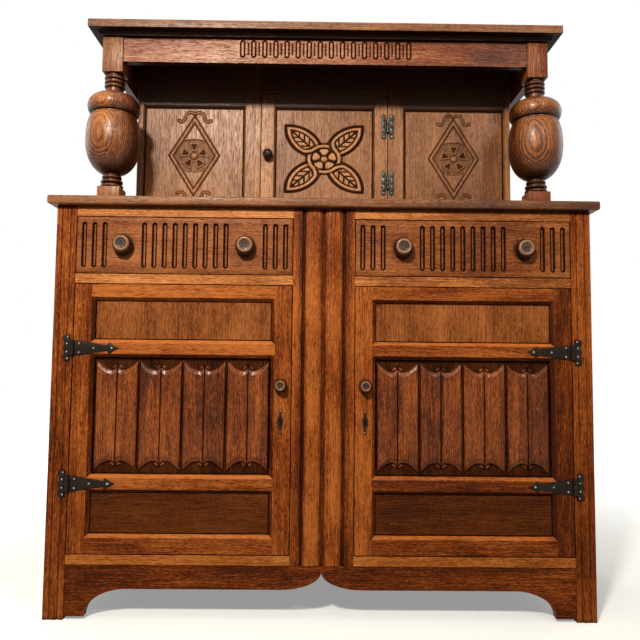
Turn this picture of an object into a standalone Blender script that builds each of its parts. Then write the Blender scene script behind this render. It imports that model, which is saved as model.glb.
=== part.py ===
"""Oak sideboard: a canopied upper cupboard on cup-and-cover columns, above two drawers and two doors.

Metres, +Z up, front towards -Y. The origin is on the floor, below the middle of the outer box.
Depths are counted from the front face of the lower case, positive towards the back.
"""
import math

import bmesh
import bpy
from mathutils import Matrix, Vector

# Fits
GAP = 0.0003
DOOR_CLEARANCE = 0.0015
DRAWER_CLEARANCE = 0.0015
OVERCUT = 0.004

# Lower case
MAIN_TOP_WIDTH = 1.220
MAIN_TOP_THICKNESS = 0.020
MAIN_TOP_HEIGHT = 0.915
TOP_OVERHANG_SIDE = 0.0165
TOP_OVERHANG_FRONT = 0.017
TOP_EDGE_RADIUS = 0.007
EDGE_SHARE_LIMIT = 0.45
CARCASS_DEPTH = 0.463
POST_WIDTH = 0.044
POST_DEPTH = 0.044
POST_GROOVE_SPACING = 0.0182
POST_GROOVE_WIDTH = 0.003
POST_GROOVE_DEPTH = 0.0022
MUNTIN_WIDTH = 0.137
MUNTIN_THICKNESS = 0.020
REED_WIDTH = 0.041
REED_GROOVE_WIDTH = 0.005
REED_GROOVE_DEPTH = 0.006
RAIL_DEPTH = 0.044
TOP_RAIL_HEIGHT = 0.0235
DRAWER_OPENING_HEIGHT = 0.1285
DRAWER_RAIL_HEIGHT = 0.0215
PLINTH_HEIGHT = 0.136
BOTTOM_RAIL_HEIGHT = 0.021
APRON_THICKNESS = 0.020
APRON_SETBACK = 0.0015
APRON_HEIGHT = 0.0505
APRON_TOE_CLEARANCE = 0.007
APRON_TOE_WIDTH = 0.0425
APRON_END_SPAN = 0.090
APRON_CUSP_SPAN = 0.088
APRON_CUSP_RISE = 0.038
END_THICKNESS = 0.022
END_INSET = 0.0015
END_RAIL_HEIGHT = 0.058
END_STILE_WIDTH = 0.030
END_PANEL_SINK = 0.010
END_PANEL_BEVEL = 0.008
BACK_THICKNESS = 0.008
BOARD_THICKNESS = 0.012
PARTITION_THICKNESS = 0.018
GUIDE_HEIGHT = 0.020
DECK_LAP = 0.010

# Drawers
DRAWER_FRONT_THICKNESS = 0.020
DRAWER_BACK_SPACE = 0.065
DRAWER_SIDE_THICKNESS = 0.010
DRAWER_BOTTOM_THICKNESS = 0.007
DRAWER_SIDE_SHORTFALL = 0.012
FLUTE_WIDTH = 0.011
FLUTE_DEPTH = 0.0045
FLUTE_PITCH = 0.0226
FLUTE_MARGIN = 0.0118
FLUTE_END_MARGIN = 0.0175
MIDDLE_FLUTES = 9
OUTER_FLUTES = 3
DRAWER_KNOB_SPACING = 0.269
DRAWER_KNOB_RADIUS = 0.022
DRAWER_KNOB_LENGTH = 0.0277
DRAWER_KNOB_NECK = 0.0105
DRAWER_KNOB_RIM = 0.0045
DRAWER_KNOB_DISH = 0.005
KNOB_FACE_LIP = 1.6

# Lower doors
DOOR_THICKNESS = 0.022
DOOR_STILE_WIDTH = 0.045
DOOR_TOP_RAIL = 0.036
DOOR_UPPER_PANEL = 0.086
DOOR_MID_RAIL = 0.0385
DOOR_LOWER_PANEL = 0.088
DOOR_BOTTOM_RAIL = 0.0415
DOOR_BEVEL = 0.007
PANEL_SINK = 0.008
PANEL_THICKNESS = 0.008
PANEL_EASE = 0.002
FOLD_COUNT = 4
FOLD_RELIEF = 0.007
FOLD_CROWN = 0.0016
FOLD_SIDE_MARGIN = 0.002
FOLD_END_MARGIN = 0.005
FOLD_SCOOP = 0.023
FOLD_SCOOP_RETURN = 0.005
FOLD_SCOOP_DEEPEST = 0.78
FOLD_GROOVE = 0.0045
FOLD_QUIRK = 0.002
DOOR_KNOB_RADIUS = 0.014
DOOR_KNOB_LENGTH = 0.024
DOOR_KNOB_NECK = 0.0065
DOOR_KNOB_RIM = 0.003
DOOR_KNOB_DISH = 0.003
DOOR_KNOB_ABOVE_MIDDLE = 0.072
ESCUTCHEON_WIDTH = 0.0125
ESCUTCHEON_HEIGHT = 0.051
ESCUTCHEON_BODY = 0.027
ESCUTCHEON_LOBE = 0.0036
ESCUTCHEON_DROP = 0.078
KEYHOLE_RADIUS = 0.0022
KEYHOLE_LENGTH = 0.0095
KEYHOLE_FOOT = 0.0031

# Iron strap hinges of the lower doors
IRON_THICKNESS = 0.0022
BARREL_RADIUS = 0.0038
PIN_RADIUS = 0.0016
BARREL_STANDOFF = 0.0004
BARREL_HEIGHT = 0.033
STRAP_LENGTH = 0.100
STRAP_NECK_LENGTH = 0.076
STRAP_NECK_HEIGHT = 0.011
ARROW_HEIGHT = 0.024
ARROW_BARB_SHARE = 0.12
ARROW_WAIST_SHARE = 0.45
ARROW_WAIST_HEIGHT = 0.0144
PLATE_WIDTH = 0.021
PLATE_HEIGHT = 0.058

# Upper stage
TOTAL_HEIGHT = 1.327
CORNICE_THICKNESS = 0.019
CORNICE_OVERHANG = 0.0265
CORNICE_EDGE_RADIUS = 0.006
BED_MOULD_HEIGHT = 0.012
BED_MOULD_TOP = 0.016
BED_MOULD_FOOT = 0.006
FRIEZE_HEIGHT = 0.067
FRIEZE_THICKNESS = 0.018
FRIEZE_SETBACK = 0.003
COLUMN_INSET = 0.1185
COLUMN_DEPTH = 0.0505
COLUMN_BLOCK_WIDTH = 0.047
COLUMN_BLOCK_HEIGHT = 0.092
COLUMN_BASE_WIDTH = 0.0505
COLUMN_BASE_HEIGHT = 0.032
NECK_RADIUS = 0.0200
BEAD_RADIUS = 0.0040
NECK_BEADS = 3
LOWER_NECK_HEIGHT = 0.034
COVER_RADIUS = 0.0590
COVER_HEIGHT = 0.054
COVER_SHOULDER = 0.032
CUP_RADIUS = 0.0612
CUP_HEIGHT = 0.1487
CUP_SHOULDER = 0.044
CUP_ROUNDNESS = 2.15
CUP_STEP_EASE = 1.7
CUP_GROOVE_RADIUS = 0.0500
UPPER_SETBACK = 0.155
UPPER_SIDE_GAP = 0.029
UPPER_FRAME_THICKNESS = 0.020
UPPER_END_THICKNESS = 0.016
UPPER_STILE_WIDTH = 0.0415
UPPER_DOOR_OPENING = 0.318
UPPER_TOP_RAIL = 0.121
UPPER_DOOR_HEAD = 0.0825
UPPER_BOTTOM_RAIL = 0.030
UPPER_BEVEL = 0.004
UPPER_PANEL_SINK = 0.006
UPPER_PANEL_THICKNESS = 0.010
UPPER_DOOR_STILE = 0.035
LOZENGE_SIDE_MARGIN = 0.059
LOZENGE_END_MARGIN = 0.0145
LOZENGE_BAND = 0.0075
LOZENGE_RELIEF = 0.003
UPPER_KNOB_RADIUS = 0.011
UPPER_KNOB_LENGTH = 0.024
UPPER_KNOB_NECK = 0.0045
UPPER_KNOB_FOOT = 0.0072
UPPER_KNOB_FOOT_RISE = 0.0022
BUTTERFLY_WIDTH = 0.0155
BUTTERFLY_HEIGHT = 0.064
BUTTERFLY_BARREL = 0.030
BUTTERFLY_PLACE = 0.267

# Facets
COLUMN_STEPS = 24
KNOB_STEPS = 16
PIN_STEPS = 12
ARC_STEPS = 6
FLUTE_STEPS = 10
FOLD_STEPS = 4
EDGE_STEPS = 4
REED_STEPS = 8
APRON_STEPS = 8
CUP_STEPS = 7
SHARP_ANGLE = 38

# Levels and faces that follow from the sizes
HALF_WIDTH = MAIN_TOP_WIDTH / 2 - TOP_OVERHANG_SIDE
INNER_POST = HALF_WIDTH - POST_WIDTH
HALF_MUNTIN = MUNTIN_WIDTH / 2
FRONT_REACH = max(DRAWER_KNOB_LENGTH + GAP, TOP_OVERHANG_FRONT)
FRONT = (FRONT_REACH - CARCASS_DEPTH) / 2
BACK = FRONT + CARCASS_DEPTH
TOP_UNDER = MAIN_TOP_HEIGHT - MAIN_TOP_THICKNESS
DRAWER_TOP = TOP_UNDER - TOP_RAIL_HEIGHT
DRAWER_BOTTOM = DRAWER_TOP - DRAWER_OPENING_HEIGHT
DOOR_TOP = DRAWER_BOTTOM - DRAWER_RAIL_HEIGHT
BOTTOM_RAIL_UNDER = PLINTH_HEIGHT - BOTTOM_RAIL_HEIGHT
APRON_LINE = BOTTOM_RAIL_UNDER - APRON_HEIGHT
CORNICE_UNDER = TOTAL_HEIGHT - CORNICE_THICKNESS
FRIEZE_UNDER = CORNICE_UNDER - FRIEZE_HEIGHT
COLUMN_X = MAIN_TOP_WIDTH / 2 - COLUMN_INSET
COLUMN_Y = FRONT + COLUMN_DEPTH
FRIEZE_END_FACE = COLUMN_X + COLUMN_BLOCK_WIDTH / 2 - FRIEZE_SETBACK
UPPER_HALF = FRIEZE_END_FACE - FRIEZE_THICKNESS - UPPER_SIDE_GAP
UPPER_FRONT = FRONT + UPPER_SETBACK
UPPER_PANEL_TOP = CORNICE_UNDER - UPPER_TOP_RAIL
UPPER_PANEL_BOTTOM = MAIN_TOP_HEIGHT + UPPER_BOTTOM_RAIL
UPPER_DOOR_TOP = CORNICE_UNDER - UPPER_DOOR_HEAD - DOOR_CLEARANCE
UPPER_DOOR_BOTTOM = MAIN_TOP_HEIGHT + DOOR_CLEARANCE
BARREL_AXIS_OUT = BARREL_RADIUS + BARREL_STANDOFF
BARREL_REACH = BARREL_RADIUS + 2 * GAP

# Places where the moving bodies turn or start
DOOR_AXIS_X = INNER_POST - DOOR_CLEARANCE / 2
DOOR_AXIS_Y = FRONT - BARREL_AXIS_OUT
UPPER_AXIS_X = UPPER_DOOR_OPENING / 2 - DOOR_CLEARANCE / 2
UPPER_AXIS_Y = UPPER_FRONT - BARREL_AXIS_OUT
DRAWER_MIDDLE_X = (HALF_MUNTIN + INNER_POST) / 2
DRAWER_MIDDLE_Z = (DRAWER_BOTTOM + DRAWER_TOP) / 2

SIDES = {"left": -1, "right": 1}


# Materials

def material(name, colour, roughness, metallic=0.0):
    """Make a plain surface with the colour that the piece shows."""
    made = bpy.data.materials.new(name)
    made.use_nodes = True
    shader = made.node_tree.nodes["Principled BSDF"]
    shader.inputs["Base Color"].default_value = (*colour, 1.0)
    shader.inputs["Roughness"].default_value = roughness
    shader.inputs["Metallic"].default_value = metallic
    return made


# Shapes, all built in world coordinates

def box(low, high):
    """Box between two corners."""
    shape = bmesh.new()
    bmesh.ops.create_cube(shape, size=1.0)
    size = [b - a for a, b in zip(low, high)]
    middle = [(a + b) / 2 for a, b in zip(low, high)]
    bmesh.ops.scale(shape, vec=size, verts=shape.verts)
    bmesh.ops.translate(shape, vec=middle, verts=shape.verts)
    return shape


def loft(rings):
    """Closed solid through rings of equal point counts, with flat ends."""
    shape = bmesh.new()
    loops = [[shape.verts.new(point) for point in ring] for ring in rings]
    count = len(loops[0])
    for lower, upper in zip(loops, loops[1:]):
        for i in range(count):
            j = (i + 1) % count
            shape.faces.new((lower[i], lower[j], upper[j], upper[i]))
    shape.faces.new(loops[0][::-1])
    shape.faces.new(loops[-1])
    bmesh.ops.recalc_face_normals(shape, faces=shape.faces)
    return shape


def prism(outline, axis, start, end):
    """Outline pushed along an axis: (x, y) along Z, (x, z) along Y or (y, z) along X."""
    place = {
        "X": lambda u, v, w: (w, u, v),
        "Y": lambda u, v, w: (u, w, v),
        "Z": lambda u, v, w: (u, v, w),
    }[axis]
    return loft([[place(u, v, w) for u, v in outline] for w in (start, end)])


def arc(centre, radii, start, end, steps=ARC_STEPS):
    """Points of an elliptical arc, angles in degrees."""
    angles = [math.radians(start + (end - start) * i / steps) for i in range(steps + 1)]
    return [(centre[0] + radii[0] * math.cos(a), centre[1] + radii[1] * math.sin(a)) for a in angles]


def turned(profile, steps):
    """Solid of revolution about Z from (radius, height) points, bottom to top."""
    rings = []
    for radius, height in profile:
        turn = [2 * math.pi * (i + 0.5) / steps for i in range(steps)]
        rings.append([(radius * math.cos(a), radius * math.sin(a), height) for a in turn])
    return loft(rings)


def moved(shape, matrix):
    """Shape carried to a new place."""
    bmesh.ops.transform(shape, matrix=matrix, verts=shape.verts)
    return shape


def gathered(shapes):
    """Several shapes as one set of separate bodies, for use as a tool."""
    whole = bmesh.new()
    for shape in shapes:
        mesh = bpy.data.meshes.new("tool")
        shape.to_mesh(mesh)
        shape.free()
        whole.from_mesh(mesh)
        bpy.data.meshes.remove(mesh)
    return whole


def helper_object(shape):
    """Temporary object that holds a shape while it is combined."""
    mesh = bpy.data.meshes.new("helper")
    shape.to_mesh(mesh)
    shape.free()
    holder = bpy.data.objects.new("helper", mesh)
    bpy.context.scene.collection.objects.link(holder)
    return holder


def combined(body, tool, operation):
    """Boolean of two shapes as a new shape."""
    target = helper_object(body)
    cutter = helper_object(tool)
    modifier = target.modifiers.new("combine", "BOOLEAN")
    modifier.operation = operation
    modifier.object = cutter
    modifier.solver = "EXACT"
    bpy.context.view_layer.update()
    evaluated = target.evaluated_get(bpy.context.evaluated_depsgraph_get())
    result = bpy.data.meshes.new_from_object(evaluated)
    shape = bmesh.new()
    shape.from_mesh(result)
    for holder in (target, cutter):
        mesh = holder.data
        bpy.data.objects.remove(holder)
        bpy.data.meshes.remove(mesh)
    bpy.data.meshes.remove(result)
    return shape


def cut(body, *tools):
    """Body with the tools taken away."""
    return combined(body, gathered(tools), "DIFFERENCE")


def welded(body, *additions):
    """Body joined with each addition in turn."""
    for addition in additions:
        body = combined(body, addition, "UNION")
    return body


def rounded_board(low, high, radius):
    """Board with its front and side edges rounded, and a plain back edge."""
    shape = box(low, high)
    edges = []
    for edge in shape.edges:
        ends = [vertex.co for vertex in edge.verts]
        level = abs(ends[0].z - ends[1].z) < GAP
        at_back = all(abs(end.y - high[1]) < GAP for end in ends)
        if level and not at_back:
            edges.append(edge)
    reach = min(radius, (high[2] - low[2]) * EDGE_SHARE_LIMIT)
    bmesh.ops.bevel(shape, geom=edges, offset=reach, segments=EDGE_STEPS, profile=0.5, affect="EDGES")
    return shape


def opening_cutter(x_range, z_range, face, thickness, bevel):
    """Tool for an opening with a bevelled front edge in a board whose front lies at face."""
    def ring(y, grow):
        low_x, high_x = x_range[0] - grow, x_range[1] + grow
        low_z, high_z = z_range[0] - grow, z_range[1] + grow
        return [(low_x, y, low_z), (high_x, y, low_z), (high_x, y, high_z), (low_x, y, high_z)]
    stations = [(face - OVERCUT, bevel + OVERCUT), (face + bevel, 0.0), (face + thickness + OVERCUT, 0.0)]
    return loft([ring(y, grow) for y, grow in stations])


def mirrored_outline(half):
    """Outline from its upper half, listed from one end to the other."""
    return half + [(u, -v) for u, v in reversed(half) if abs(v) > 1e-9]


# Objects

def empty(name, location):
    """Axis or datum that pieces hang on."""
    made = bpy.data.objects.new(name, None)
    made.location = location
    made.empty_display_size = 0.05
    bpy.context.scene.collection.objects.link(made)
    return made


def piece(name, shape, surface, carrier):
    """Turn a shape into a named object that hangs on its carrier."""
    low = Vector([min(v.co[i] for v in shape.verts) for i in range(3)])
    high = Vector([max(v.co[i] for v in shape.verts) for i in range(3)])
    anchor = (low + high) / 2
    bmesh.ops.recalc_face_normals(shape, faces=shape.faces)
    bmesh.ops.translate(shape, vec=-anchor, verts=shape.verts)
    mesh = bpy.data.meshes.new(name)
    shape.to_mesh(mesh)
    shape.free()
    mesh.shade_smooth()
    mesh.set_sharp_from_angle(angle=math.radians(SHARP_ANGLE))
    mesh.materials.append(surface)
    made = bpy.data.objects.new(name, mesh)
    made.parent = carrier
    made.location = anchor - carrier.location
    bpy.context.scene.collection.objects.link(made)
    return made


# Lower case

def front_post(side):
    """Square post with two cut lines down its face."""
    inner, outer = INNER_POST, HALF_WIDTH
    middle = (inner + outer) / 2
    outline = [(inner, FRONT)]
    for line in (middle - POST_GROOVE_SPACING / 2, middle + POST_GROOVE_SPACING / 2):
        outline.append((line - POST_GROOVE_WIDTH / 2, FRONT))
        outline.append((line, FRONT + POST_GROOVE_DEPTH))
        outline.append((line + POST_GROOVE_WIDTH / 2, FRONT))
    outline += [(outer, FRONT), (outer, FRONT + POST_DEPTH), (inner, FRONT + POST_DEPTH)]
    return prism([(side * x, y) for x, y in outline], "Z", 0.0, TOP_UNDER - GAP)


def reed(start, end):
    """Rounded strip across the muntin's face, sunk at both edges."""
    middle, half = (start + end) / 2, (end - start) / 2
    return arc((middle, FRONT + REED_GROOVE_DEPTH), (half, -REED_GROOVE_DEPTH), 180, 0, REED_STEPS)


def centre_muntin():
    """Broad upright between the doors, worked with two reeds between three grooves."""
    inner = REED_GROOVE_WIDTH / 2
    outer = inner + REED_WIDTH
    flat = outer + REED_GROOVE_WIDTH
    floor = FRONT + REED_GROOVE_DEPTH
    outline = [(-HALF_MUNTIN + GAP, FRONT), (-flat, FRONT), (-flat, floor)]
    outline += reed(-outer, -inner)
    outline += reed(inner, outer)
    outline += [(flat, floor), (flat, FRONT), (HALF_MUNTIN - GAP, FRONT)]
    back = FRONT + MUNTIN_THICKNESS
    outline += [(HALF_MUNTIN - GAP, back), (-HALF_MUNTIN + GAP, back)]
    return prism(outline, "Z", BOTTOM_RAIL_UNDER + GAP, TOP_UNDER - GAP)


def notched_rail(bottom, top, depth=RAIL_DEPTH):
    """Rail between the posts, let in behind the muntin."""
    end = INNER_POST - GAP
    floor = FRONT + MUNTIN_THICKNESS + GAP
    back = FRONT + depth
    outline = [(-end, FRONT), (-HALF_MUNTIN, FRONT), (-HALF_MUNTIN, floor), (HALF_MUNTIN, floor)]
    outline += [(HALF_MUNTIN, FRONT), (end, FRONT), (end, back), (-end, back)]
    return prism(outline, "Z", bottom, top)


def case_board(front, bottom, top):
    """Board across the case behind the front, notched round the back posts."""
    side = HALF_WIDTH - END_INSET - END_THICKNESS - GAP
    post = INNER_POST - GAP
    notch = BACK - POST_DEPTH - GAP
    back = BACK - BACK_THICKNESS - GAP
    outline = [(-side, front), (side, front), (side, notch), (post, notch)]
    outline += [(post, back), (-post, back), (-post, notch), (-side, notch)]
    return prism(outline, "Z", bottom, top)


def drawer_deck():
    """Drawer rail, dust board and drawer guides."""
    board_front = FRONT + max(RAIL_DEPTH, POST_DEPTH) + GAP
    rail = notched_rail(DOOR_TOP, DRAWER_BOTTOM, board_front + DECK_LAP - FRONT)
    board = case_board(board_front, DRAWER_BOTTOM - BOARD_THICKNESS, DRAWER_BOTTOM)
    guide_end = BACK - POST_DEPTH - GAP - OVERCUT
    wall = HALF_WIDTH - END_INSET - END_THICKNESS - GAP
    guides = []
    for low, high in ((-wall, -INNER_POST), (-HALF_MUNTIN, HALF_MUNTIN), (INNER_POST, wall)):
        lowest = (low + OVERCUT / 4, board_front + OVERCUT, DRAWER_BOTTOM - BOARD_THICKNESS / 2)
        highest = (high - OVERCUT / 4, guide_end, DRAWER_BOTTOM + GUIDE_HEIGHT)
        guides.append(box(lowest, highest))
    return welded(rail, board, *guides)


def apron():
    """Board below the doors with bracket ends and a pointed rise in the middle."""
    end = INNER_POST - GAP
    top = BOTTOM_RAIL_UNDER - GAP
    toe = end - APRON_TOE_WIDTH
    peak = APRON_LINE + APRON_CUSP_RISE
    half = arc((APRON_CUSP_SPAN, peak), (APRON_CUSP_SPAN, APRON_CUSP_RISE), 180, 270, APRON_STEPS)
    sweep = (APRON_END_SPAN, APRON_LINE - APRON_TOE_CLEARANCE)
    half += arc((toe - APRON_END_SPAN, APRON_TOE_CLEARANCE), sweep, 90, 0, APRON_STEPS)
    half += [(end, APRON_TOE_CLEARANCE), (end, top)]
    outline = half + [(-x, z) for x, z in reversed(half[1:])]
    front = FRONT + APRON_SETBACK
    return prism(outline, "Y", front, front + APRON_THICKNESS)


def end_frame(side):
    """Panelled end with its back post, which stands on the floor."""
    outer = HALF_WIDTH - END_INSET
    inner = outer - END_THICKNESS
    start = FRONT + POST_DEPTH + GAP
    post = BACK - POST_DEPTH
    outline = [(outer, start), (outer, post), (HALF_WIDTH, post), (HALF_WIDTH, BACK)]
    outline += [(INNER_POST, BACK), (INNER_POST, post), (inner, post), (inner, start)]
    body = prism([(side * x, y) for x, y in outline], "Z", 0.0, TOP_UNDER - GAP)

    def across(y_range, z_range, stations):
        rings = []
        for x, grow in stations:
            low_y, high_y = y_range[0] - grow, y_range[1] + grow
            low_z, high_z = z_range[0] - grow, z_range[1] + grow
            rings.append([(side * x, low_y, low_z), (side * x, high_y, low_z),
                          (side * x, high_y, high_z), (side * x, low_y, high_z)])
        return loft(rings)

    below = across((start - OVERCUT, post), (-OVERCUT, APRON_LINE),
                   [(inner - OVERCUT, 0.0), (outer + OVERCUT, 0.0)])
    sink = outer - END_PANEL_SINK
    slope = END_PANEL_BEVEL / END_PANEL_SINK
    stations = [(sink, 0.0), (outer + OVERCUT, END_PANEL_BEVEL + OVERCUT * slope)]
    sides = (start + END_STILE_WIDTH, post - END_STILE_WIDTH)
    middle = (DOOR_TOP + DRAWER_BOTTOM) / 2
    upper = across(sides, (middle + END_RAIL_HEIGHT / 2, TOP_UNDER - END_RAIL_HEIGHT), stations)
    lower = across(sides, (APRON_LINE + END_RAIL_HEIGHT, middle - END_RAIL_HEIGHT / 2), stations)
    return cut(body, below, upper, lower)


def partition():
    """Upright board between the two cupboards."""
    half = PARTITION_THICKNESS / 2
    low = (-half, FRONT + MUNTIN_THICKNESS + GAP, PLINTH_HEIGHT + GAP)
    high = (half, BACK - BACK_THICKNESS - GAP, DOOR_TOP - GAP)
    return box(low, high)


def lower_back():
    """Thin back of the lower case, between the back posts."""
    end = INNER_POST - GAP
    return box((-end, BACK - BACK_THICKNESS, APRON_LINE), (end, BACK, TOP_UNDER - GAP))


def main_top():
    """Broad top board of the lower case."""
    half = MAIN_TOP_WIDTH / 2
    low = (-half, FRONT - TOP_OVERHANG_FRONT, TOP_UNDER)
    return rounded_board(low, (half, BACK, MAIN_TOP_HEIGHT), TOP_EDGE_RADIUS)


# Hinges

def barrel_section(axis, bottom, top, radius):
    """Round length of a hinge barrel."""
    shape = turned([(radius, bottom), (radius, top)], PIN_STEPS)
    return moved(shape, Matrix.Translation((axis[0], axis[1], 0.0)))


def iron_sheet(outline, axis, side, middle):
    """Flat iron cut to an outline of (distance from the axis, height) and laid on the wood."""
    face = axis[1] + BARREL_AXIS_OUT - GAP
    points = [(axis[0] + side * u, middle + v) for u, v in outline]
    return prism(points, "Y", face - IRON_THICKNESS, face)


def fixed_leaf(outline_half, axis, side, middle, barrel_height):
    """Leaf on the frame: sheet, outer knuckles and pin."""
    third = barrel_height / 6
    notch = [(BARREL_REACH, -third - GAP), (0.0, -third - GAP)]
    outline = [(0.0, third + GAP), (0.0, barrel_height / 2)] + outline_half
    outline += [(u, -v) for u, v in reversed(outline_half)] + [(0.0, -barrel_height / 2)]
    outline += list(reversed(notch)) + [(BARREL_REACH, third + GAP)]
    body = iron_sheet(outline, axis, side, middle)
    upper = barrel_section(axis, middle + third + GAP, middle + barrel_height / 2 + GAP, BARREL_RADIUS)
    lower = barrel_section(axis, middle - barrel_height / 2 - GAP, middle - third - GAP, BARREL_RADIUS)
    pin = barrel_section(axis, middle - third - 2 * GAP, middle + third + 2 * GAP, PIN_RADIUS)
    return welded(body, upper, lower, pin)


def moving_leaf(outline_half, axis, side, middle, barrel_height):
    """Leaf on the door: sheet and middle knuckle, bored for the pin."""
    third = barrel_height / 6
    half = [(0.0, third - GAP), (BARREL_REACH, third - GAP)] + outline_half
    body = iron_sheet(mirrored_outline(half), axis, side, middle)
    knuckle = barrel_section(axis, middle - third, middle + third, BARREL_RADIUS)
    bore = barrel_section(axis, middle - third - OVERCUT, middle + third + OVERCUT, PIN_RADIUS + GAP)
    return cut(welded(body, knuckle), bore)


def strap_outline():
    """Upper half of a tapered strap with an arrow tip."""
    arrow = STRAP_LENGTH - STRAP_NECK_LENGTH
    return [
        (BARREL_REACH, BARREL_HEIGHT / 2),
        (STRAP_NECK_LENGTH, STRAP_NECK_HEIGHT / 2),
        (STRAP_NECK_LENGTH + arrow * ARROW_BARB_SHARE, ARROW_HEIGHT / 2),
        (STRAP_NECK_LENGTH + arrow * ARROW_WAIST_SHARE, ARROW_WAIST_HEIGHT / 2),
        (STRAP_LENGTH, 0.0),
    ]


def wing_outline(barrel_height, width, height):
    """Upper half of a butterfly wing that flares away from the barrel."""
    flare = arc((BARREL_REACH, height / 2), (width - BARREL_REACH, (barrel_height - height) / 2), 90, 0, 4)
    return [(BARREL_REACH, barrel_height / 2)] + flare[1:] + [(width, height / 2 - IRON_THICKNESS)]


# Doors

def door_rows():
    """Bottom and top of the three panel openings of a lower door, lowest first."""
    bottom = PLINTH_HEIGHT + DOOR_CLEARANCE
    top = DOOR_TOP - DOOR_CLEARANCE
    lower = (bottom + DOOR_BOTTOM_RAIL, bottom + DOOR_BOTTOM_RAIL + DOOR_LOWER_PANEL)
    upper = (top - DOOR_TOP_RAIL - DOOR_UPPER_PANEL, top - DOOR_TOP_RAIL)
    return [lower, (lower[1] + DOOR_MID_RAIL, upper[0] - DOOR_MID_RAIL), upper]


def door_sides(side):
    """Left and right edges of a lower door's panel openings."""
    edges = [
        side * (HALF_MUNTIN + DOOR_CLEARANCE + DOOR_STILE_WIDTH),
        side * (INNER_POST - DOOR_CLEARANCE - DOOR_STILE_WIDTH),
    ]
    return min(edges), max(edges)


def hinge_heights():
    """Middles of the two mid rails, where the straps lie."""
    lower, fold, upper = door_rows()
    return {"lower": (lower[1] + fold[0]) / 2, "upper": (fold[1] + upper[0]) / 2}


def door_frame(side):
    """Stiles and rails of a lower door with bevelled panel openings."""
    edges = sorted((side * (HALF_MUNTIN + DOOR_CLEARANCE), side * (INNER_POST - DOOR_CLEARANCE)))
    body = box((edges[0], FRONT, PLINTH_HEIGHT + DOOR_CLEARANCE),
               (edges[1], FRONT + DOOR_THICKNESS, DOOR_TOP - DOOR_CLEARANCE))
    tools = [opening_cutter(door_sides(side), row, FRONT, DOOR_THICKNESS, DOOR_BEVEL) for row in door_rows()]
    return cut(body, *tools)


def flat_panel(x_range, z_range, face):
    """Plain panel let into a door opening, with its front edges eased."""
    low_x, high_x = x_range[0] + GAP, x_range[1] - GAP
    low_z, high_z = z_range[0] + GAP, z_range[1] - GAP

    def ring(y, shrink):
        return [(low_x + shrink, y, low_z + shrink), (high_x - shrink, y, low_z + shrink),
                (high_x - shrink, y, high_z - shrink), (low_x + shrink, y, high_z - shrink)]

    front = face + PANEL_SINK
    eased = front + PANEL_EASE
    return loft([ring(front, PANEL_EASE), ring(eased, 0.0), ring(front + PANEL_THICKNESS, 0.0)])


def fold_sections(half_width):
    """Distances from a fold's edge to its middle line, with the relief at each."""
    quirk = half_width - FOLD_QUIRK
    shoulder = FOLD_RELIEF - FOLD_CROWN
    sections = [(0.0, 0.0)]
    for i in range(FOLD_STEPS + 1):
        share = i / FOLD_STEPS
        distance = FOLD_GROOVE + (quirk - FOLD_GROOVE) * share
        sections.append((distance, shoulder + FOLD_CROWN * math.sin(math.pi * share)))
    return sections + [(half_width, shoulder / 2)]


def fold_scoop(share):
    """How far a fold's end is scooped back, share running from its edge (0) to its middle (1)."""
    if share < FOLD_SCOOP_DEEPEST:
        return FOLD_SCOOP * math.sin(math.pi / 2 * share / FOLD_SCOOP_DEEPEST)
    beyond = (share - FOLD_SCOOP_DEEPEST) / (1.0 - FOLD_SCOOP_DEEPEST)
    return FOLD_SCOOP - FOLD_SCOOP_RETURN * beyond ** 2


def linenfold_panel(x_range, z_range, face):
    """Panel carved with upright folds, each of two strips whose ends are scooped out."""
    low_x, high_x = x_range[0] + GAP, x_range[1] - GAP
    low_z, high_z = z_range[0] + GAP, z_range[1] - GAP
    ground = face + PANEL_SINK + FOLD_RELIEF
    back = ground + PANEL_THICKNESS - FOLD_RELIEF / 2
    half_fold = (high_x - low_x - 2 * FOLD_SIDE_MARGIN) / FOLD_COUNT / 2
    start, finish = low_z + FOLD_END_MARGIN, high_z - FOLD_END_MARGIN
    bevel = FOLD_RELIEF / 2
    shape = bmesh.new()
    columns = []

    def column(x, relief, scoop):
        foot, head = start + scoop, finish - scoop
        levels = [(low_z, 0.0), (foot, 0.0), (foot + bevel, relief)]
        levels += [(head - bevel, relief), (head, 0.0), (high_z, 0.0)]
        points = [(x, back, low_z)] + [(x, ground - rise, z) for z, rise in levels] + [(x, back, high_z)]
        columns.append([shape.verts.new(point) for point in points])

    column(low_x, 0.0, 0.0)
    for half in range(2 * FOLD_COUNT):
        edge = low_x + FOLD_SIDE_MARGIN + half * half_fold
        sections = fold_sections(half_fold)
        if half % 2:
            sections = [(half_fold - distance, relief) for distance, relief in reversed(sections)]
        for distance, relief in sections[0 if half == 0 else 1:]:
            from_edge = half_fold - distance if half % 2 else distance
            column(edge + distance, relief, fold_scoop(from_edge / half_fold))
    column(high_x, 0.0, 0.0)
    rows = len(columns[0])
    for left, right in zip(columns, columns[1:]):
        for i in range(rows):
            j = (i + 1) % rows
            shape.faces.new((left[i], right[i], right[j], left[j]))
    shape.faces.new(columns[0])
    shape.faces.new(columns[-1][::-1])
    bmesh.ops.recalc_face_normals(shape, faces=shape.faces)
    return shape


def knob(radius, length, neck, rim, dish, place):
    """Turned knob with a coved neck, a rounded rim and a dished face, its foot at place."""
    cove = arc((radius - rim, 0.0), (radius - rim - neck, length - 2 * rim), 180, 90, 4)
    edge = arc((radius - rim, length - rim), (rim, rim), -90, 90, 4)
    bowl = arc((0.0, length), (radius - KNOB_FACE_LIP * rim, -dish), 0, 80, 3)
    shape = turned(cove + edge[1:] + bowl, KNOB_STEPS)
    return moved(shape, Matrix.Translation(place) @ Matrix.Rotation(math.radians(90), 4, "X"))


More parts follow.
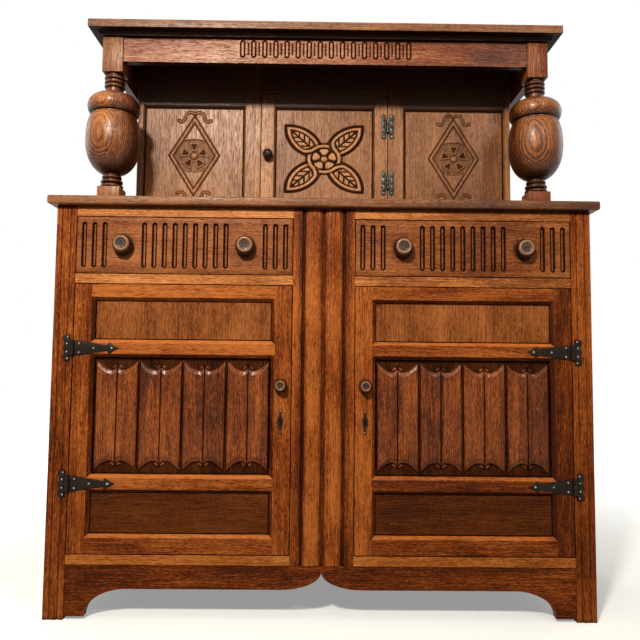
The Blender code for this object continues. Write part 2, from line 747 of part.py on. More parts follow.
def escutcheon(middle_x, middle_z, face):
    """Slender iron plate with a keyhole in its oval body and a lobe at each end."""
    lobe = ESCUTCHEON_HEIGHT / 2 - ESCUTCHEON_LOBE
    right = arc((0.0, lobe), (ESCUTCHEON_LOBE, ESCUTCHEON_LOBE), 90, -60, 4)
    right += arc((0.0, 0.0), (ESCUTCHEON_WIDTH / 2, ESCUTCHEON_BODY / 2), 70, -70, 7)
    right += arc((0.0, -lobe), (ESCUTCHEON_LOBE, ESCUTCHEON_LOBE), 60, -90, 4)
    outline = right + [(-x, z) for x, z in reversed(right[1:-1])]
    front = face - GAP - IRON_THICKNESS
    sheet = prism([(middle_x + x, middle_z + z) for x, z in outline], "Y", front, face - GAP)
    eye = arc((middle_x, middle_z + KEYHOLE_LENGTH / 3), (KEYHOLE_RADIUS, KEYHOLE_RADIUS), -50, 230, 6)
    foot = middle_z - KEYHOLE_LENGTH * 2 / 3
    hole = eye + [(middle_x - KEYHOLE_FOOT / 2, foot), (middle_x + KEYHOLE_FOOT / 2, foot)]
    return cut(sheet, prism(hole, "Y", front - OVERCUT, face + OVERCUT))


# Drawers

def flute(x, z):
    """Tool for one upright flute with round ends."""
    radius = (FLUTE_WIDTH ** 2 / 4 + FLUTE_DEPTH ** 2) / (2 * FLUTE_DEPTH)
    straight = DRAWER_OPENING_HEIGHT / 2 - DRAWER_CLEARANCE - FLUTE_MARGIN - FLUTE_WIDTH / 2
    cap = arc((0.0, straight), (radius, radius), 0, 70, 2)
    profile = [(r, -h) for r, h in reversed(cap)] + cap
    shape = turned(profile, FLUTE_STEPS)
    return moved(shape, Matrix.Translation((x, FRONT + FLUTE_DEPTH - radius, z)))


def flute_places():
    """Distances of the flutes from the middle of the drawer front."""
    middle = [(i - (MIDDLE_FLUTES - 1) / 2) * FLUTE_PITCH for i in range(MIDDLE_FLUTES)]
    edge = (INNER_POST - HALF_MUNTIN) / 2 - FLUTE_END_MARGIN
    outer = [edge - i * FLUTE_PITCH for i in range(OUTER_FLUTES)]
    return middle + outer + [-place for place in outer]


def drawer_front(side):
    """Drawer face worked with three groups of flutes."""
    half = (INNER_POST - HALF_MUNTIN) / 2 - DRAWER_CLEARANCE
    middle = side * DRAWER_MIDDLE_X
    body = box((middle - half, FRONT, DRAWER_BOTTOM + DRAWER_CLEARANCE),
               (middle + half, FRONT + DRAWER_FRONT_THICKNESS, DRAWER_TOP - DRAWER_CLEARANCE))
    return cut(body, *[flute(middle + place, DRAWER_MIDDLE_Z) for place in flute_places()])


def drawer_box(side):
    """Open-topped box behind a drawer front, resting on the dust board."""
    half = (INNER_POST - HALF_MUNTIN) / 2 - DRAWER_CLEARANCE
    middle = side * DRAWER_MIDDLE_X
    front = FRONT + DRAWER_FRONT_THICKNESS + GAP
    back = BACK - BACK_THICKNESS - DRAWER_BACK_SPACE
    bottom = DRAWER_BOTTOM + GAP
    top = DRAWER_TOP - DRAWER_CLEARANCE - DRAWER_SIDE_SHORTFALL
    wall = DRAWER_SIDE_THICKNESS
    body = box((middle - half, front, bottom), (middle + half, back, top))
    inside = box((middle - half + wall, front + wall, bottom + DRAWER_BOTTOM_THICKNESS),
                 (middle + half - wall, back - wall, top + OVERCUT))
    return cut(body, inside)


# Upper stage

def bead(radius, height):
    """Half-round ring on a turned neck, from its lower to its upper edge."""
    return arc((radius, height + BEAD_RADIUS), (BEAD_RADIUS, BEAD_RADIUS), -90, 90, 3)


def column(side):
    """Column turned from the square: its cup and cover fill the room between its blocks."""
    foot = MAIN_TOP_HEIGHT + GAP
    base_top = foot + COLUMN_BASE_HEIGHT
    block_under = CORNICE_UNDER - COLUMN_BLOCK_HEIGHT
    cup_top = LOWER_NECK_HEIGHT + CUP_HEIGHT
    cover_top = cup_top + COVER_HEIGHT
    turned_length = cover_top + (NECK_BEADS + 1) * 2 * BEAD_RADIUS
    widest = cup_top - CUP_SHOULDER
    profile = [(NECK_RADIUS, -OVERCUT)]
    profile += bead(NECK_RADIUS + BEAD_RADIUS / 2, 0.0)
    profile += [(NECK_RADIUS, LOWER_NECK_HEIGHT - 2 * BEAD_RADIUS - OVERCUT / 2)]
    profile += bead(NECK_RADIUS, LOWER_NECK_HEIGHT - 2 * BEAD_RADIUS)[1:]
    for i in range(1, CUP_STEPS + 1):
        drop = 1.0 - (i / CUP_STEPS) ** CUP_STEP_EASE
        height = widest - (widest - LOWER_NECK_HEIGHT) * drop
        radius = CUP_RADIUS * (1.0 - drop ** CUP_ROUNDNESS) ** (1.0 / CUP_ROUNDNESS)
        profile.append((max(radius, NECK_RADIUS), height))
    profile += arc((CUP_GROOVE_RADIUS, widest), (CUP_RADIUS - CUP_GROOVE_RADIUS, CUP_SHOULDER), 15, 90, 5)
    cover_widest = cover_top - COVER_SHOULDER
    bulge = (COVER_RADIUS - CUP_GROOVE_RADIUS, cover_widest - cup_top)
    profile += arc((CUP_GROOVE_RADIUS, cover_widest), bulge, -80, 0, 3)
    profile += arc((NECK_RADIUS, cover_widest), (COVER_RADIUS - NECK_RADIUS, COVER_SHOULDER), 15, 85, 6)
    ring = cover_top + BEAD_RADIUS
    profile += [(NECK_RADIUS, ring)]
    for i in range(NECK_BEADS):
        profile += bead(NECK_RADIUS - BEAD_RADIUS / 4, ring + 2 * i * BEAD_RADIUS)[1:]
    profile += [(NECK_RADIUS - BEAD_RADIUS / 4, turned_length + OVERCUT)]
    stretch = (block_under - base_top) / turned_length
    profile = [(radius, base_top + height * stretch) for radius, height in profile]
    shaft = moved(turned(profile, COLUMN_STEPS), Matrix.Translation((side * COLUMN_X, COLUMN_Y, 0.0)))

    def block(width, bottom, top):
        half = width / 2
        low = (side * COLUMN_X - half, COLUMN_Y - half, bottom)
        return box(low, (side * COLUMN_X + half, COLUMN_Y + half, top))

    base = block(COLUMN_BASE_WIDTH, foot, base_top)
    head = block(COLUMN_BLOCK_WIDTH, block_under, CORNICE_UNDER - GAP)
    return welded(shaft, base, head)


def frieze_front():
    """Board between the column blocks under the cornice."""
    end = COLUMN_X - COLUMN_BLOCK_WIDTH / 2 - GAP
    face = COLUMN_Y - COLUMN_BLOCK_WIDTH / 2 + FRIEZE_SETBACK
    return box((-end, face, FRIEZE_UNDER), (end, face + FRIEZE_THICKNESS, CORNICE_UNDER - GAP))


def frieze_end(side):
    """Board from a column block to the back, under the cornice's side."""
    outer = side * FRIEZE_END_FACE
    inner = outer - side * FRIEZE_THICKNESS
    start = COLUMN_Y + COLUMN_BLOCK_WIDTH / 2 + GAP
    return box((min(outer, inner), start, FRIEZE_UNDER), (max(outer, inner), BACK, CORNICE_UNDER - GAP))


def cornice():
    """Top board with a hollow moulding under its front and ends."""
    face_x = COLUMN_X + COLUMN_BLOCK_WIDTH / 2
    face_y = COLUMN_Y - COLUMN_BLOCK_WIDTH / 2
    low = (-face_x - CORNICE_OVERHANG, face_y - CORNICE_OVERHANG, CORNICE_UNDER)
    high = (face_x + CORNICE_OVERHANG, BACK, TOTAL_HEIGHT)
    board = rounded_board(low, high, CORNICE_EDGE_RADIUS)
    foot = CORNICE_UNDER - BED_MOULD_HEIGHT
    hollow = arc((BED_MOULD_TOP, foot), (BED_MOULD_TOP - BED_MOULD_FOOT, BED_MOULD_HEIGHT), 180, 90, 4)
    lap = CORNICE_UNDER + OVERCUT
    section = [(GAP, lap), (GAP, foot)] + hollow + [(BED_MOULD_TOP, lap)]
    rings = [
        [(-face_x - out, BACK - OVERCUT, z) for out, z in section],
        [(-face_x - out, face_y - out, z) for out, z in section],
        [(face_x + out, face_y - out, z) for out, z in section],
        [(face_x + out, BACK - OVERCUT, z) for out, z in section],
    ]
    return welded(board, loft(rings))


def upper_openings():
    """Side edges of the three openings in the upper face, left to right."""
    door = UPPER_DOOR_OPENING / 2
    panel = (door + UPPER_STILE_WIDTH, UPPER_HALF - UPPER_END_THICKNESS)
    return {"left": (-panel[1], -panel[0]), "door": (-door, door), "right": panel}


def upper_face_frame():
    """Front of the upper cupboard: stiles and rails round the panels and the door."""
    body = box((-UPPER_HALF, UPPER_FRONT, MAIN_TOP_HEIGHT + GAP),
               (UPPER_HALF, UPPER_FRONT + UPPER_FRAME_THICKNESS, CORNICE_UNDER - GAP))
    openings = upper_openings()
    tools = [
        opening_cutter(openings[name], (UPPER_PANEL_BOTTOM, UPPER_PANEL_TOP),
                       UPPER_FRONT, UPPER_FRAME_THICKNESS, UPPER_BEVEL)
        for name in ("left", "right")
    ]
    door = openings["door"]
    behind = UPPER_FRONT + UPPER_FRAME_THICKNESS + OVERCUT
    doorway = box((door[0], UPPER_FRONT - OVERCUT, MAIN_TOP_HEIGHT - OVERCUT),
                  (door[1], behind, CORNICE_UNDER - UPPER_DOOR_HEAD))
    return cut(body, *tools, doorway)


def lozenge(middle, width, height, low_y, high_y):
    """Upright diamond as a solid between two depths."""
    x, z = middle
    points = [(x, z - height / 2), (x + width / 2, z), (x, z + height / 2), (x - width / 2, z)]
    return prism(points, "Y", low_y, high_y)


def carved_panel(name):
    """Fixed panel with a raised lozenge band."""
    x_range = upper_openings()[name]
    face = UPPER_FRONT + UPPER_PANEL_SINK
    low = (x_range[0] + GAP, face, UPPER_PANEL_BOTTOM + GAP)
    high = (x_range[1] - GAP, face + UPPER_PANEL_THICKNESS, UPPER_PANEL_TOP - GAP)
    middle = ((x_range[0] + x_range[1]) / 2, (UPPER_PANEL_BOTTOM + UPPER_PANEL_TOP) / 2)
    width = x_range[1] - x_range[0] - 2 * LOZENGE_SIDE_MARGIN
    height = UPPER_PANEL_TOP - UPPER_PANEL_BOTTOM - 2 * LOZENGE_END_MARGIN
    band = lozenge(middle, width, height, face - LOZENGE_RELIEF, face + LOZENGE_RELIEF)
    shrink = LOZENGE_BAND * math.hypot(width, height)
    inner_width = width - 2 * shrink / height
    inner_height = height - 2 * shrink / width
    reach = LOZENGE_RELIEF + OVERCUT
    inner = lozenge(middle, inner_width, inner_height, face - reach, face + reach)
    return welded(box(low, high), cut(band, inner))


def upper_end(side):
    """End board of the upper cupboard."""
    outer = side * UPPER_HALF
    inner = outer - side * UPPER_END_THICKNESS
    front = UPPER_FRONT + UPPER_FRAME_THICKNESS + GAP
    back = BACK - BACK_THICKNESS - GAP
    low = (min(outer, inner), front, MAIN_TOP_HEIGHT + GAP)
    return box(low, (max(outer, inner), back, CORNICE_UNDER - GAP))


def upper_back():
    """Thin back of the upper cupboard."""
    low = (-UPPER_HALF, BACK - BACK_THICKNESS, MAIN_TOP_HEIGHT + GAP)
    return box(low, (UPPER_HALF, BACK, CORNICE_UNDER - GAP))


def upper_door_window():
    """Edges of the upper door's panel opening."""
    side = UPPER_DOOR_OPENING / 2 - DOOR_CLEARANCE - UPPER_DOOR_STILE
    return (-side, side), (UPPER_PANEL_BOTTOM, UPPER_PANEL_TOP)


def upper_door_frame():
    """Stiles and rails of the upper door."""
    half = UPPER_DOOR_OPENING / 2 - DOOR_CLEARANCE
    body = box((-half, UPPER_FRONT, UPPER_DOOR_BOTTOM),
               (half, UPPER_FRONT + UPPER_FRAME_THICKNESS, UPPER_DOOR_TOP))
    return cut(body, opening_cutter(*upper_door_window(), UPPER_FRONT, UPPER_FRAME_THICKNESS, UPPER_BEVEL))


def upper_door_panel():
    """Panel of the upper door."""
    x_range, z_range = upper_door_window()
    face = UPPER_FRONT + UPPER_PANEL_SINK
    return box((x_range[0] + GAP, face, z_range[0] + GAP),
               (x_range[1] - GAP, face + UPPER_PANEL_THICKNESS, z_range[1] - GAP))


def upper_knob():
    """Small iron ball knob on a short neck."""
    centre = (0.0, UPPER_KNOB_LENGTH - UPPER_KNOB_RADIUS)
    ball = arc(centre, (UPPER_KNOB_RADIUS, UPPER_KNOB_RADIUS), -65, 84, 7)
    profile = [(UPPER_KNOB_FOOT, 0.0), (UPPER_KNOB_NECK, UPPER_KNOB_FOOT_RISE)] + ball
    x = -(UPPER_DOOR_OPENING / 2 - DOOR_CLEARANCE - UPPER_DOOR_STILE / 2)
    z = (UPPER_PANEL_BOTTOM + UPPER_PANEL_TOP) / 2
    turn = Matrix.Rotation(math.radians(90), 4, "X")
    return moved(turned(profile, KNOB_STEPS), Matrix.Translation((x, UPPER_FRONT - GAP, z)) @ turn)


# Assembly

def build_lower_case(oak, dark_oak, iron, case):
    """Everything fixed below and including the main top."""
    for name, side in SIDES.items():
        piece(f"front_post_{name}", front_post(side), oak, case)
        piece(f"end_frame_{name}", end_frame(side), oak, case)
    piece("centre_muntin", centre_muntin(), oak, case)
    piece("top_rail", notched_rail(DRAWER_TOP, TOP_UNDER - GAP), oak, case)
    piece("drawer_deck", drawer_deck(), oak, case)
    piece("bottom_rail", notched_rail(BOTTOM_RAIL_UNDER, PLINTH_HEIGHT), oak, case)
    piece("apron", apron(), oak, case)
    floor_front = FRONT + max(RAIL_DEPTH, POST_DEPTH) + GAP
    floor = case_board(floor_front, PLINTH_HEIGHT - BOARD_THICKNESS, PLINTH_HEIGHT)
    piece("floor_board", floor, dark_oak, case)
    piece("partition", partition(), dark_oak, case)
    piece("lower_back", lower_back(), dark_oak, case)
    piece("main_top", main_top(), oak, case)
    wing = wing_outline(BARREL_HEIGHT, PLATE_WIDTH, PLATE_HEIGHT)
    for name, side in SIDES.items():
        for level, height in hinge_heights().items():
            axis = (side * DOOR_AXIS_X, DOOR_AXIS_Y)
            leaf = fixed_leaf(wing, axis, side, height, BARREL_HEIGHT)
            piece(f"hinge_plate_{name}_{level}", leaf, iron, case)


def build_upper_stage(oak, dark_oak, iron, case):
    """Everything fixed above the main top."""
    for name, side in SIDES.items():
        piece(f"column_{name}", column(side), oak, case)
        piece(f"frieze_{name}", frieze_end(side), oak, case)
        piece(f"upper_end_{name}", upper_end(side), oak, case)
        piece(f"carved_panel_{name}", carved_panel(name), oak, case)
    piece("frieze_front", frieze_front(), oak, case)
    piece("cornice", cornice(), oak, case)
    piece("upper_face_frame", upper_face_frame(), oak, case)
    piece("upper_back", upper_back(), dark_oak, case)
    wing = wing_outline(BUTTERFLY_BARREL, BUTTERFLY_WIDTH, BUTTERFLY_HEIGHT)
    for level, height in butterfly_heights().items():
        leaf = fixed_leaf(wing, (UPPER_AXIS_X, UPPER_AXIS_Y), 1, height, BUTTERFLY_BARREL)
        piece(f"upper_hinge_plate_{level}", leaf, iron, case)


def butterfly_heights():
    """Middles of the upper door's two hinges, at equal shares of its height from both ends."""
    inset = (UPPER_DOOR_TOP - UPPER_DOOR_BOTTOM) * BUTTERFLY_PLACE
    return {"lower": UPPER_DOOR_BOTTOM + inset, "upper": UPPER_DOOR_TOP - inset}


def build_lower_door(name, side, oak, knob_oak, iron):
    """Lower door with its furniture, hung on its hinge axis."""
    axis = empty(f"door_{name}_axis", (side * DOOR_AXIS_X, DOOR_AXIS_Y, PLINTH_HEIGHT))
    rows = door_rows()
    sides = door_sides(side)
    piece(f"door_{name}_frame", door_frame(side), oak, axis)
    piece(f"door_{name}_bottom_panel", flat_panel(sides, rows[0], FRONT), oak, axis)
    piece(f"door_{name}_linenfold_panel", linenfold_panel(sides, rows[1], FRONT), oak, axis)
    piece(f"door_{name}_top_panel", flat_panel(sides, rows[2], FRONT), oak, axis)
    lock_x = side * (HALF_MUNTIN + DOOR_CLEARANCE + DOOR_STILE_WIDTH / 2)
    middle = (PLINTH_HEIGHT + DOOR_TOP) / 2
    knob_z = middle + DOOR_KNOB_ABOVE_MIDDLE
    foot = (lock_x, FRONT - GAP, knob_z)
    turned_knob = knob(DOOR_KNOB_RADIUS, DOOR_KNOB_LENGTH, DOOR_KNOB_NECK,
                       DOOR_KNOB_RIM, DOOR_KNOB_DISH, foot)
    piece(f"door_{name}_knob", turned_knob, knob_oak, axis)
    piece(f"door_{name}_escutcheon", escutcheon(lock_x, knob_z - ESCUTCHEON_DROP, FRONT), iron, axis)
    for level, height in hinge_heights().items():
        leaf = moving_leaf(strap_outline(), (side * DOOR_AXIS_X, DOOR_AXIS_Y), -side, height, BARREL_HEIGHT)
        piece(f"door_{name}_strap_{level}", leaf, iron, axis)


def build_drawer(name, side, oak, knob_oak, dark_oak):
    """Drawer with its two knobs, sliding towards the front."""
    runner = empty(f"drawer_{name}_runner", (side * DRAWER_MIDDLE_X, FRONT, DRAWER_BOTTOM))
    piece(f"drawer_{name}_front", drawer_front(side), oak, runner)
    piece(f"drawer_{name}_box", drawer_box(side), dark_oak, runner)
    for place, direction in (("inner", -1), ("outer", 1)):
        x = side * (DRAWER_MIDDLE_X + direction * DRAWER_KNOB_SPACING / 2)
        foot = (x, FRONT - GAP, DRAWER_MIDDLE_Z)
        shape = knob(DRAWER_KNOB_RADIUS, DRAWER_KNOB_LENGTH, DRAWER_KNOB_NECK,
                     DRAWER_KNOB_RIM, DRAWER_KNOB_DISH, foot)
        piece(f"drawer_{name}_knob_{place}", shape, knob_oak, runner)


def build_upper_door(oak, iron):
    """Upper door, hung at its right-hand side."""
    axis = empty("upper_door_axis", (UPPER_AXIS_X, UPPER_AXIS_Y, UPPER_DOOR_BOTTOM))
    piece("upper_door_frame", upper_door_frame(), oak, axis)
    piece("upper_door_panel", upper_door_panel(), oak, axis)
    piece("upper_door_knob", upper_knob(), iron, axis)
    wing = wing_outline(BUTTERFLY_BARREL, BUTTERFLY_WIDTH, BUTTERFLY_HEIGHT)
    for level, height in butterfly_heights().items():
        leaf = moving_leaf(wing, (UPPER_AXIS_X, UPPER_AXIS_Y), -1, height, BUTTERFLY_BARREL)
        piece(f"upper_door_leaf_{level}", leaf, iron, axis)


def main():
    """Build the sideboard in an empty scene."""
    for leftover in list(bpy.data.objects):
        bpy.data.objects.remove(leftover)
    oak = material("waxed_oak", (0.36, 0.19, 0.085), 0.42)
    dark_oak = material("inner_oak", (0.25, 0.15, 0.08), 0.65)
    knob_oak = material("turned_oak", (0.24, 0.12, 0.055), 0.35)
    iron = material("black_iron", (0.025, 0.023, 0.022), 0.5, 0.8)
    case = empty("case", (0.0, 0.0, 0.0))
    build_lower_case(oak, dark_oak, iron, case)
    build_upper_stage(oak, dark_oak, iron, case)
    for name, side in SIDES.items():
        build_lower_door(name, side, oak, knob_oak, iron)
        build_drawer(name, side, oak, knob_oak, dark_oak)
    build_upper_door(oak, iron)


if __name__ == "__main__":
    main()
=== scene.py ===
"""Oak sideboard dressed for pictures: carved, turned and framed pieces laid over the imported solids.

Metres, +Z up, front towards -Y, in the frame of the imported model.
"""

import itertools
import math

import bmesh
import bpy
import numpy as np
from mathutils import Matrix, Vector


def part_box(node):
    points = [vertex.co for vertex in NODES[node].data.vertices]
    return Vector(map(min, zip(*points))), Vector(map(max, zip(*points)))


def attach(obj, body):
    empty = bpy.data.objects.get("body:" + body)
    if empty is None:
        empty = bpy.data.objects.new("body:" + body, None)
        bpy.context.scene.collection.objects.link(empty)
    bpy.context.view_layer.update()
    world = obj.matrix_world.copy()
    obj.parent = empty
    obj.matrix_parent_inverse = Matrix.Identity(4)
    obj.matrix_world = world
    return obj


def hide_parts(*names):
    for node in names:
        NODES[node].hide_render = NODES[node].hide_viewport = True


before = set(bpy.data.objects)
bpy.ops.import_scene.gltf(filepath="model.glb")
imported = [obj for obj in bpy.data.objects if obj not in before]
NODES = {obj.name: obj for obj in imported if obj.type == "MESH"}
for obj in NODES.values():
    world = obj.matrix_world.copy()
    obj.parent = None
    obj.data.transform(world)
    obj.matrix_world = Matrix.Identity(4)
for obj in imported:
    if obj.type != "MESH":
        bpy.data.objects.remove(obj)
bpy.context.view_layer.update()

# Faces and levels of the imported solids
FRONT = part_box("front_post_left")[0].y
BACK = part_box("lower_back")[1].y
POST_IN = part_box("front_post_right")[0].x
POST_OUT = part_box("front_post_right")[1].x
TOP_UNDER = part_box("main_top")[0].z
UPPER_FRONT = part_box("upper_face_frame")[0].y
SIDES = {"left": -1, "right": 1}

# Sizes shared by several pieces: gaps, room round doors and drawers, softened edges, iron before its wood
GAP = 0.0003
CLEARANCE = 0.0015
EASE = 0.0008
SHEET = 0.0022
HINGE_STANDOFF = 0.0042
HINGE_NECK = 0.0044
TOWARDS_FRONT = Matrix.Rotation(math.radians(90), 4, "X")


# Materials

class Signal:
    """Output of a shader node, worked with plain sums."""

    def __init__(self, socket):
        self.socket, self.tree = socket, socket.id_data

    def worked(self, operation, other=0.0):
        """One sum of this signal with another signal or a number."""
        return shader_node(self.tree, "ShaderNodeMath", {0: self, 1: other}, operation=operation)

    def clamped(self):
        """The same sum, held between 0 and 1."""
        self.socket.node.use_clamp = True
        return self

    def __add__(self, other):
        return self.worked("ADD", other)

    def __sub__(self, other):
        return self.worked("SUBTRACT", other)

    def __rsub__(self, number):
        return (self - number) * -1.0

    def __mul__(self, other):
        return self.worked("MULTIPLY", other)


def fill(socket, value):
    """Link a socket to a signal, or set it to a number or a colour."""
    if isinstance(value, Signal):
        value.tree.links.new(value.socket, socket)
    else:
        socket.default_value = (*value, 1.0) if isinstance(value, tuple) else value


def shader_node(tree, kind, values=None, output=0, **settings):
    """Signal of a new node with its settings and its sockets filled."""
    made = tree.nodes.new(kind)
    for key, value in settings.items():
        setattr(made, key, value)
    for key, value in (values or {}).items():
        fill(made.inputs[key], value)
    return Signal(made.outputs[output])


def attribute(tree, name):
    """Signal of a mesh attribute."""
    return shader_node(tree, "ShaderNodeAttribute", output="Fac", attribute_name=name)


def place_axes(tree):
    """Signals of X, Y and Z in the object's own frame."""
    spot = shader_node(tree, "ShaderNodeTexCoord", output="Object")
    parted = shader_node(tree, "ShaderNodeSeparateXYZ", {0: spot}).socket.node.outputs
    return {letter: Signal(parted[letter]) for letter in "XYZ"}


def ramp(factor, stops):
    """Colour from a ramp with the given (place, colour) stops."""
    made = shader_node(factor.tree, "ShaderNodeValToRGB", {"Fac": factor})
    elements = made.socket.node.color_ramp.elements
    while len(elements) < len(stops):
        elements.new(0.5)
    for element, (spot, colour) in zip(elements, stops):
        element.position = spot
        element.color = (*colour, 1.0)
    return made


def noise(axes, scales, detail, roughness=0.55):
    """Noise stretched differently along three axes."""
    scaled = {letter: axis * scale for letter, axis, scale in zip("XYZ", axes, scales)}
    spot = shader_node(axes[0].tree, "ShaderNodeCombineXYZ", scaled)
    values = {"Vector": spot, "Scale": 1.0, "Detail": detail, "Roughness": roughness}
    return shader_node(spot.tree, "ShaderNodeTexNoise", values)


def mixed(factor, a, b):
    """Two colours mixed."""
    return shader_node(factor.tree, "ShaderNodeMix", {0: factor, 6: a, 7: b}, 2, data_type="RGBA")


def bump(height, strength, distance):
    """Normals roughened by a height."""
    values = {"Height": height, "Strength": strength, "Distance": distance}
    return shader_node(height.tree, "ShaderNodeBump", values)


def new_surface(name):
    """New material, its tree and the sockets of its shader."""
    made = bpy.data.materials.new(name)
    made.use_nodes = True
    return made, made.node_tree, made.node_tree.nodes["Principled BSDF"].inputs


def oak(name, along, dark, middle, light, gloss=0.42, shine=0.24, ring=0.0036, slant=0.6, wander=0.07,
        bands=0.06, contrast=1.0, deepen=None):
    """Waxed oak whose grain runs along one axis, with growth rings, streaks, pores, and dirt and painted
    shade in hollows.

    deepen is (axis, start, end, amount): painted shade, the tone growing deeper by the amount from start to
    end of the axis.
    """
    pore_level, pore_strength = 0.535, 0.62
    grime_and_shade_reach, grime_and_shade_start, grime_and_shade_gain = 0.011, 0.88, 1.95
    sheen_and_wear_gain, board_spread = 0.4, 0.14
    made, tree, inputs = new_surface(name)
    spot = place_axes(tree)
    chance = shader_node(tree, "ShaderNodeObjectInfo", output="Random")
    shift = chance * 3.7 + attribute(tree, "board") * 5.3
    order = {"X": "ZYX", "Y": "XZY", "Z": "XYZ"}[along]
    axes = [spot[letter] + shift * share for letter, share in zip(order, (1.0, 0.7, 1.9))]
    warp = noise(axes, (8.0, 8.0, 1.3), 3.0)
    across = axes[0] * math.cos(slant) + axes[1] * math.sin(slant) + warp * wander
    rings = (across * (2 * math.pi / ring)).worked("SINE")
    broad = noise(axes, (48.0, 48.0, 2.4), 3.0, 0.6)
    streak = noise(axes, (210.0, 210.0, 12.0), 4.0, 0.66)
    dashes = noise(axes, (540.0, 540.0, 105.0), 3.0, 0.72)
    blotch = noise(axes, (13.0, 13.0, 5.5), 4.0, 0.62)
    pores = ((noise(axes, (820.0, 820.0, 48.0), 2.0) - pore_level) * 8.0).clamped()
    tone = rings * (bands * contrast) + 0.5
    for part, weight in ((broad, 0.42), (streak, 0.60), (dashes, 1.15), (blotch, 0.85)):
        tone = tone + (part - 0.5) * (weight * contrast)
    own = (shift * 7.13).worked("FRACT")
    # The lift attribute adds each board's tone and the painted light and shade set on the pieces.
    tone = tone + (own - 0.5) * board_spread + attribute(tree, "lift")
    if deepen:
        axis, start, end, amount = deepen
        tone = tone - ((spot[axis] - start) * (1.0 / (end - start))).clamped() * amount
    # Cavity darkens as stain and painted shade; below nought it makes the wood paler, as wear and painted
    # sheen.
    cavity = attribute(tree, "cavity")
    sheen_and_wear = cavity.worked("MINIMUM", 0.0)
    tone = tone - sheen_and_wear * sheen_and_wear_gain
    deepest, pore_colour, grime_and_shade_colour = (tuple(share * c + extra for c in dark)
                                  for share, extra in ((0.6, 0.0), (0.30, 0.0), (0.10, 0.0006)))
    colour = ramp(tone, [(0.06, deepest), (0.24, dark), (0.5, middle), (0.88, light)])
    # Ambient occlusion darkens hollows and joints: painted shade, mixed with the dirt there.
    near = shader_node(tree, "ShaderNodeAmbientOcclusion", {"Distance": grime_and_shade_reach}, "AO", samples=6)
    grime_and_shade = ((grime_and_shade_start - near) * grime_and_shade_gain).clamped() * ((sheen_and_wear + 1.0) * 0.93)
    grime_and_shade = (cavity * 0.96).worked("MAXIMUM", grime_and_shade)
    fill(inputs["Base Color"], mixed(grime_and_shade, mixed(pores * pore_strength, colour, pore_colour), grime_and_shade_colour))
    fill(inputs["Roughness"], ((streak - 0.5) * -0.3 + gloss + pores * 0.16 + grime_and_shade * 0.25).clamped())
    fill(inputs["Normal"], bump(streak * 0.8 - pores, 0.4, 0.0004))
    fill(inputs["Specular IOR Level"], (1.08 - grime_and_shade).clamped() * shine)
    return made


def iron(name, dark, light, metallic, rough):
    """Hammered iron with brown bloom in places."""
    made, tree, inputs = new_surface(name)
    axes = list(place_axes(tree).values())
    hammer = noise(axes, [240.0] * 3, 2.0)
    grain = noise(axes, [1400.0] * 3, 3.0)
    fill(inputs["Base Color"], ramp(hammer * 0.7 + grain * 0.3, [(0.36, dark), (0.66, light)]))
    fill(inputs["Roughness"], grain * 0.3 + (rough - 0.15))
    fill(inputs["Normal"], bump(hammer + grain * 0.12, 0.45, 0.0012))
    fill(inputs["Metallic"], metallic)
    fill(inputs["Specular IOR Level"], 0.16)
    return made


def oak_set(name, dark, middle, light, **more):
    """The same oak with its grain along each axis."""
    return {axis: oak(f"{name}_{axis.lower()}", axis, dark, middle, light, **more) for axis in "XYZ"}


FRAME_OAK = oak_set("frame_oak", (0.072, 0.0135, 0.0020), (0.232, 0.046, 0.0062), (0.540, 0.152, 0.030),
                    shine=0.08, contrast=1.2)
# Rail oak grows deeper towards the right: painted shade where the light falls off.
RAIL_OAK = oak_set("bright_oak", (0.25, 0.070, 0.014), (0.590, 0.190, 0.047), (0.830, 0.36, 0.12),
                   shine=0.13, deepen=("X", -0.05, 0.45, 0.30))
SILL_OAK = oak_set("sill_oak", (0.155, 0.037, 0.0055), (0.440, 0.116, 0.0190), (0.720, 0.255, 0.062),
                   shine=0.08)
PANEL_OAK = oak_set("panel_oak", (0.108, 0.0265, 0.0054), (0.305, 0.086, 0.0185), (0.480, 0.165, 0.048),
                    shine=0.09)
DARK_OAK = oak_set("dark_oak", (0.032, 0.0062, 0.0010), (0.098, 0.0210, 0.0031), (0.205, 0.054, 0.0105),
                   shine=0.07)
# Near-black oak for painted shade: under the frieze and the canopy, and inside the keyholes.
PAINTED_SHADE_OAK = oak_set("painted_shade_oak", (0.008, 0.0020, 0.0005), (0.020, 0.0055, 0.0014), (0.060, 0.0180, 0.0050),
                   shine=0.06)
FOLD_OAK = oak_set("fold_oak", (0.052, 0.0095, 0.0014), (0.210, 0.043, 0.0058), (0.460, 0.126, 0.026),
                   gloss=0.21, shine=0.15, contrast=1.25)
UPPER_TONES = (0.088, 0.0265, 0.0078), (0.256, 0.0905, 0.0285), (0.500, 0.216, 0.084)
UPPER_OAK = oak_set("upper_oak", *UPPER_TONES, gloss=0.37, shine=0.24, contrast=0.9)
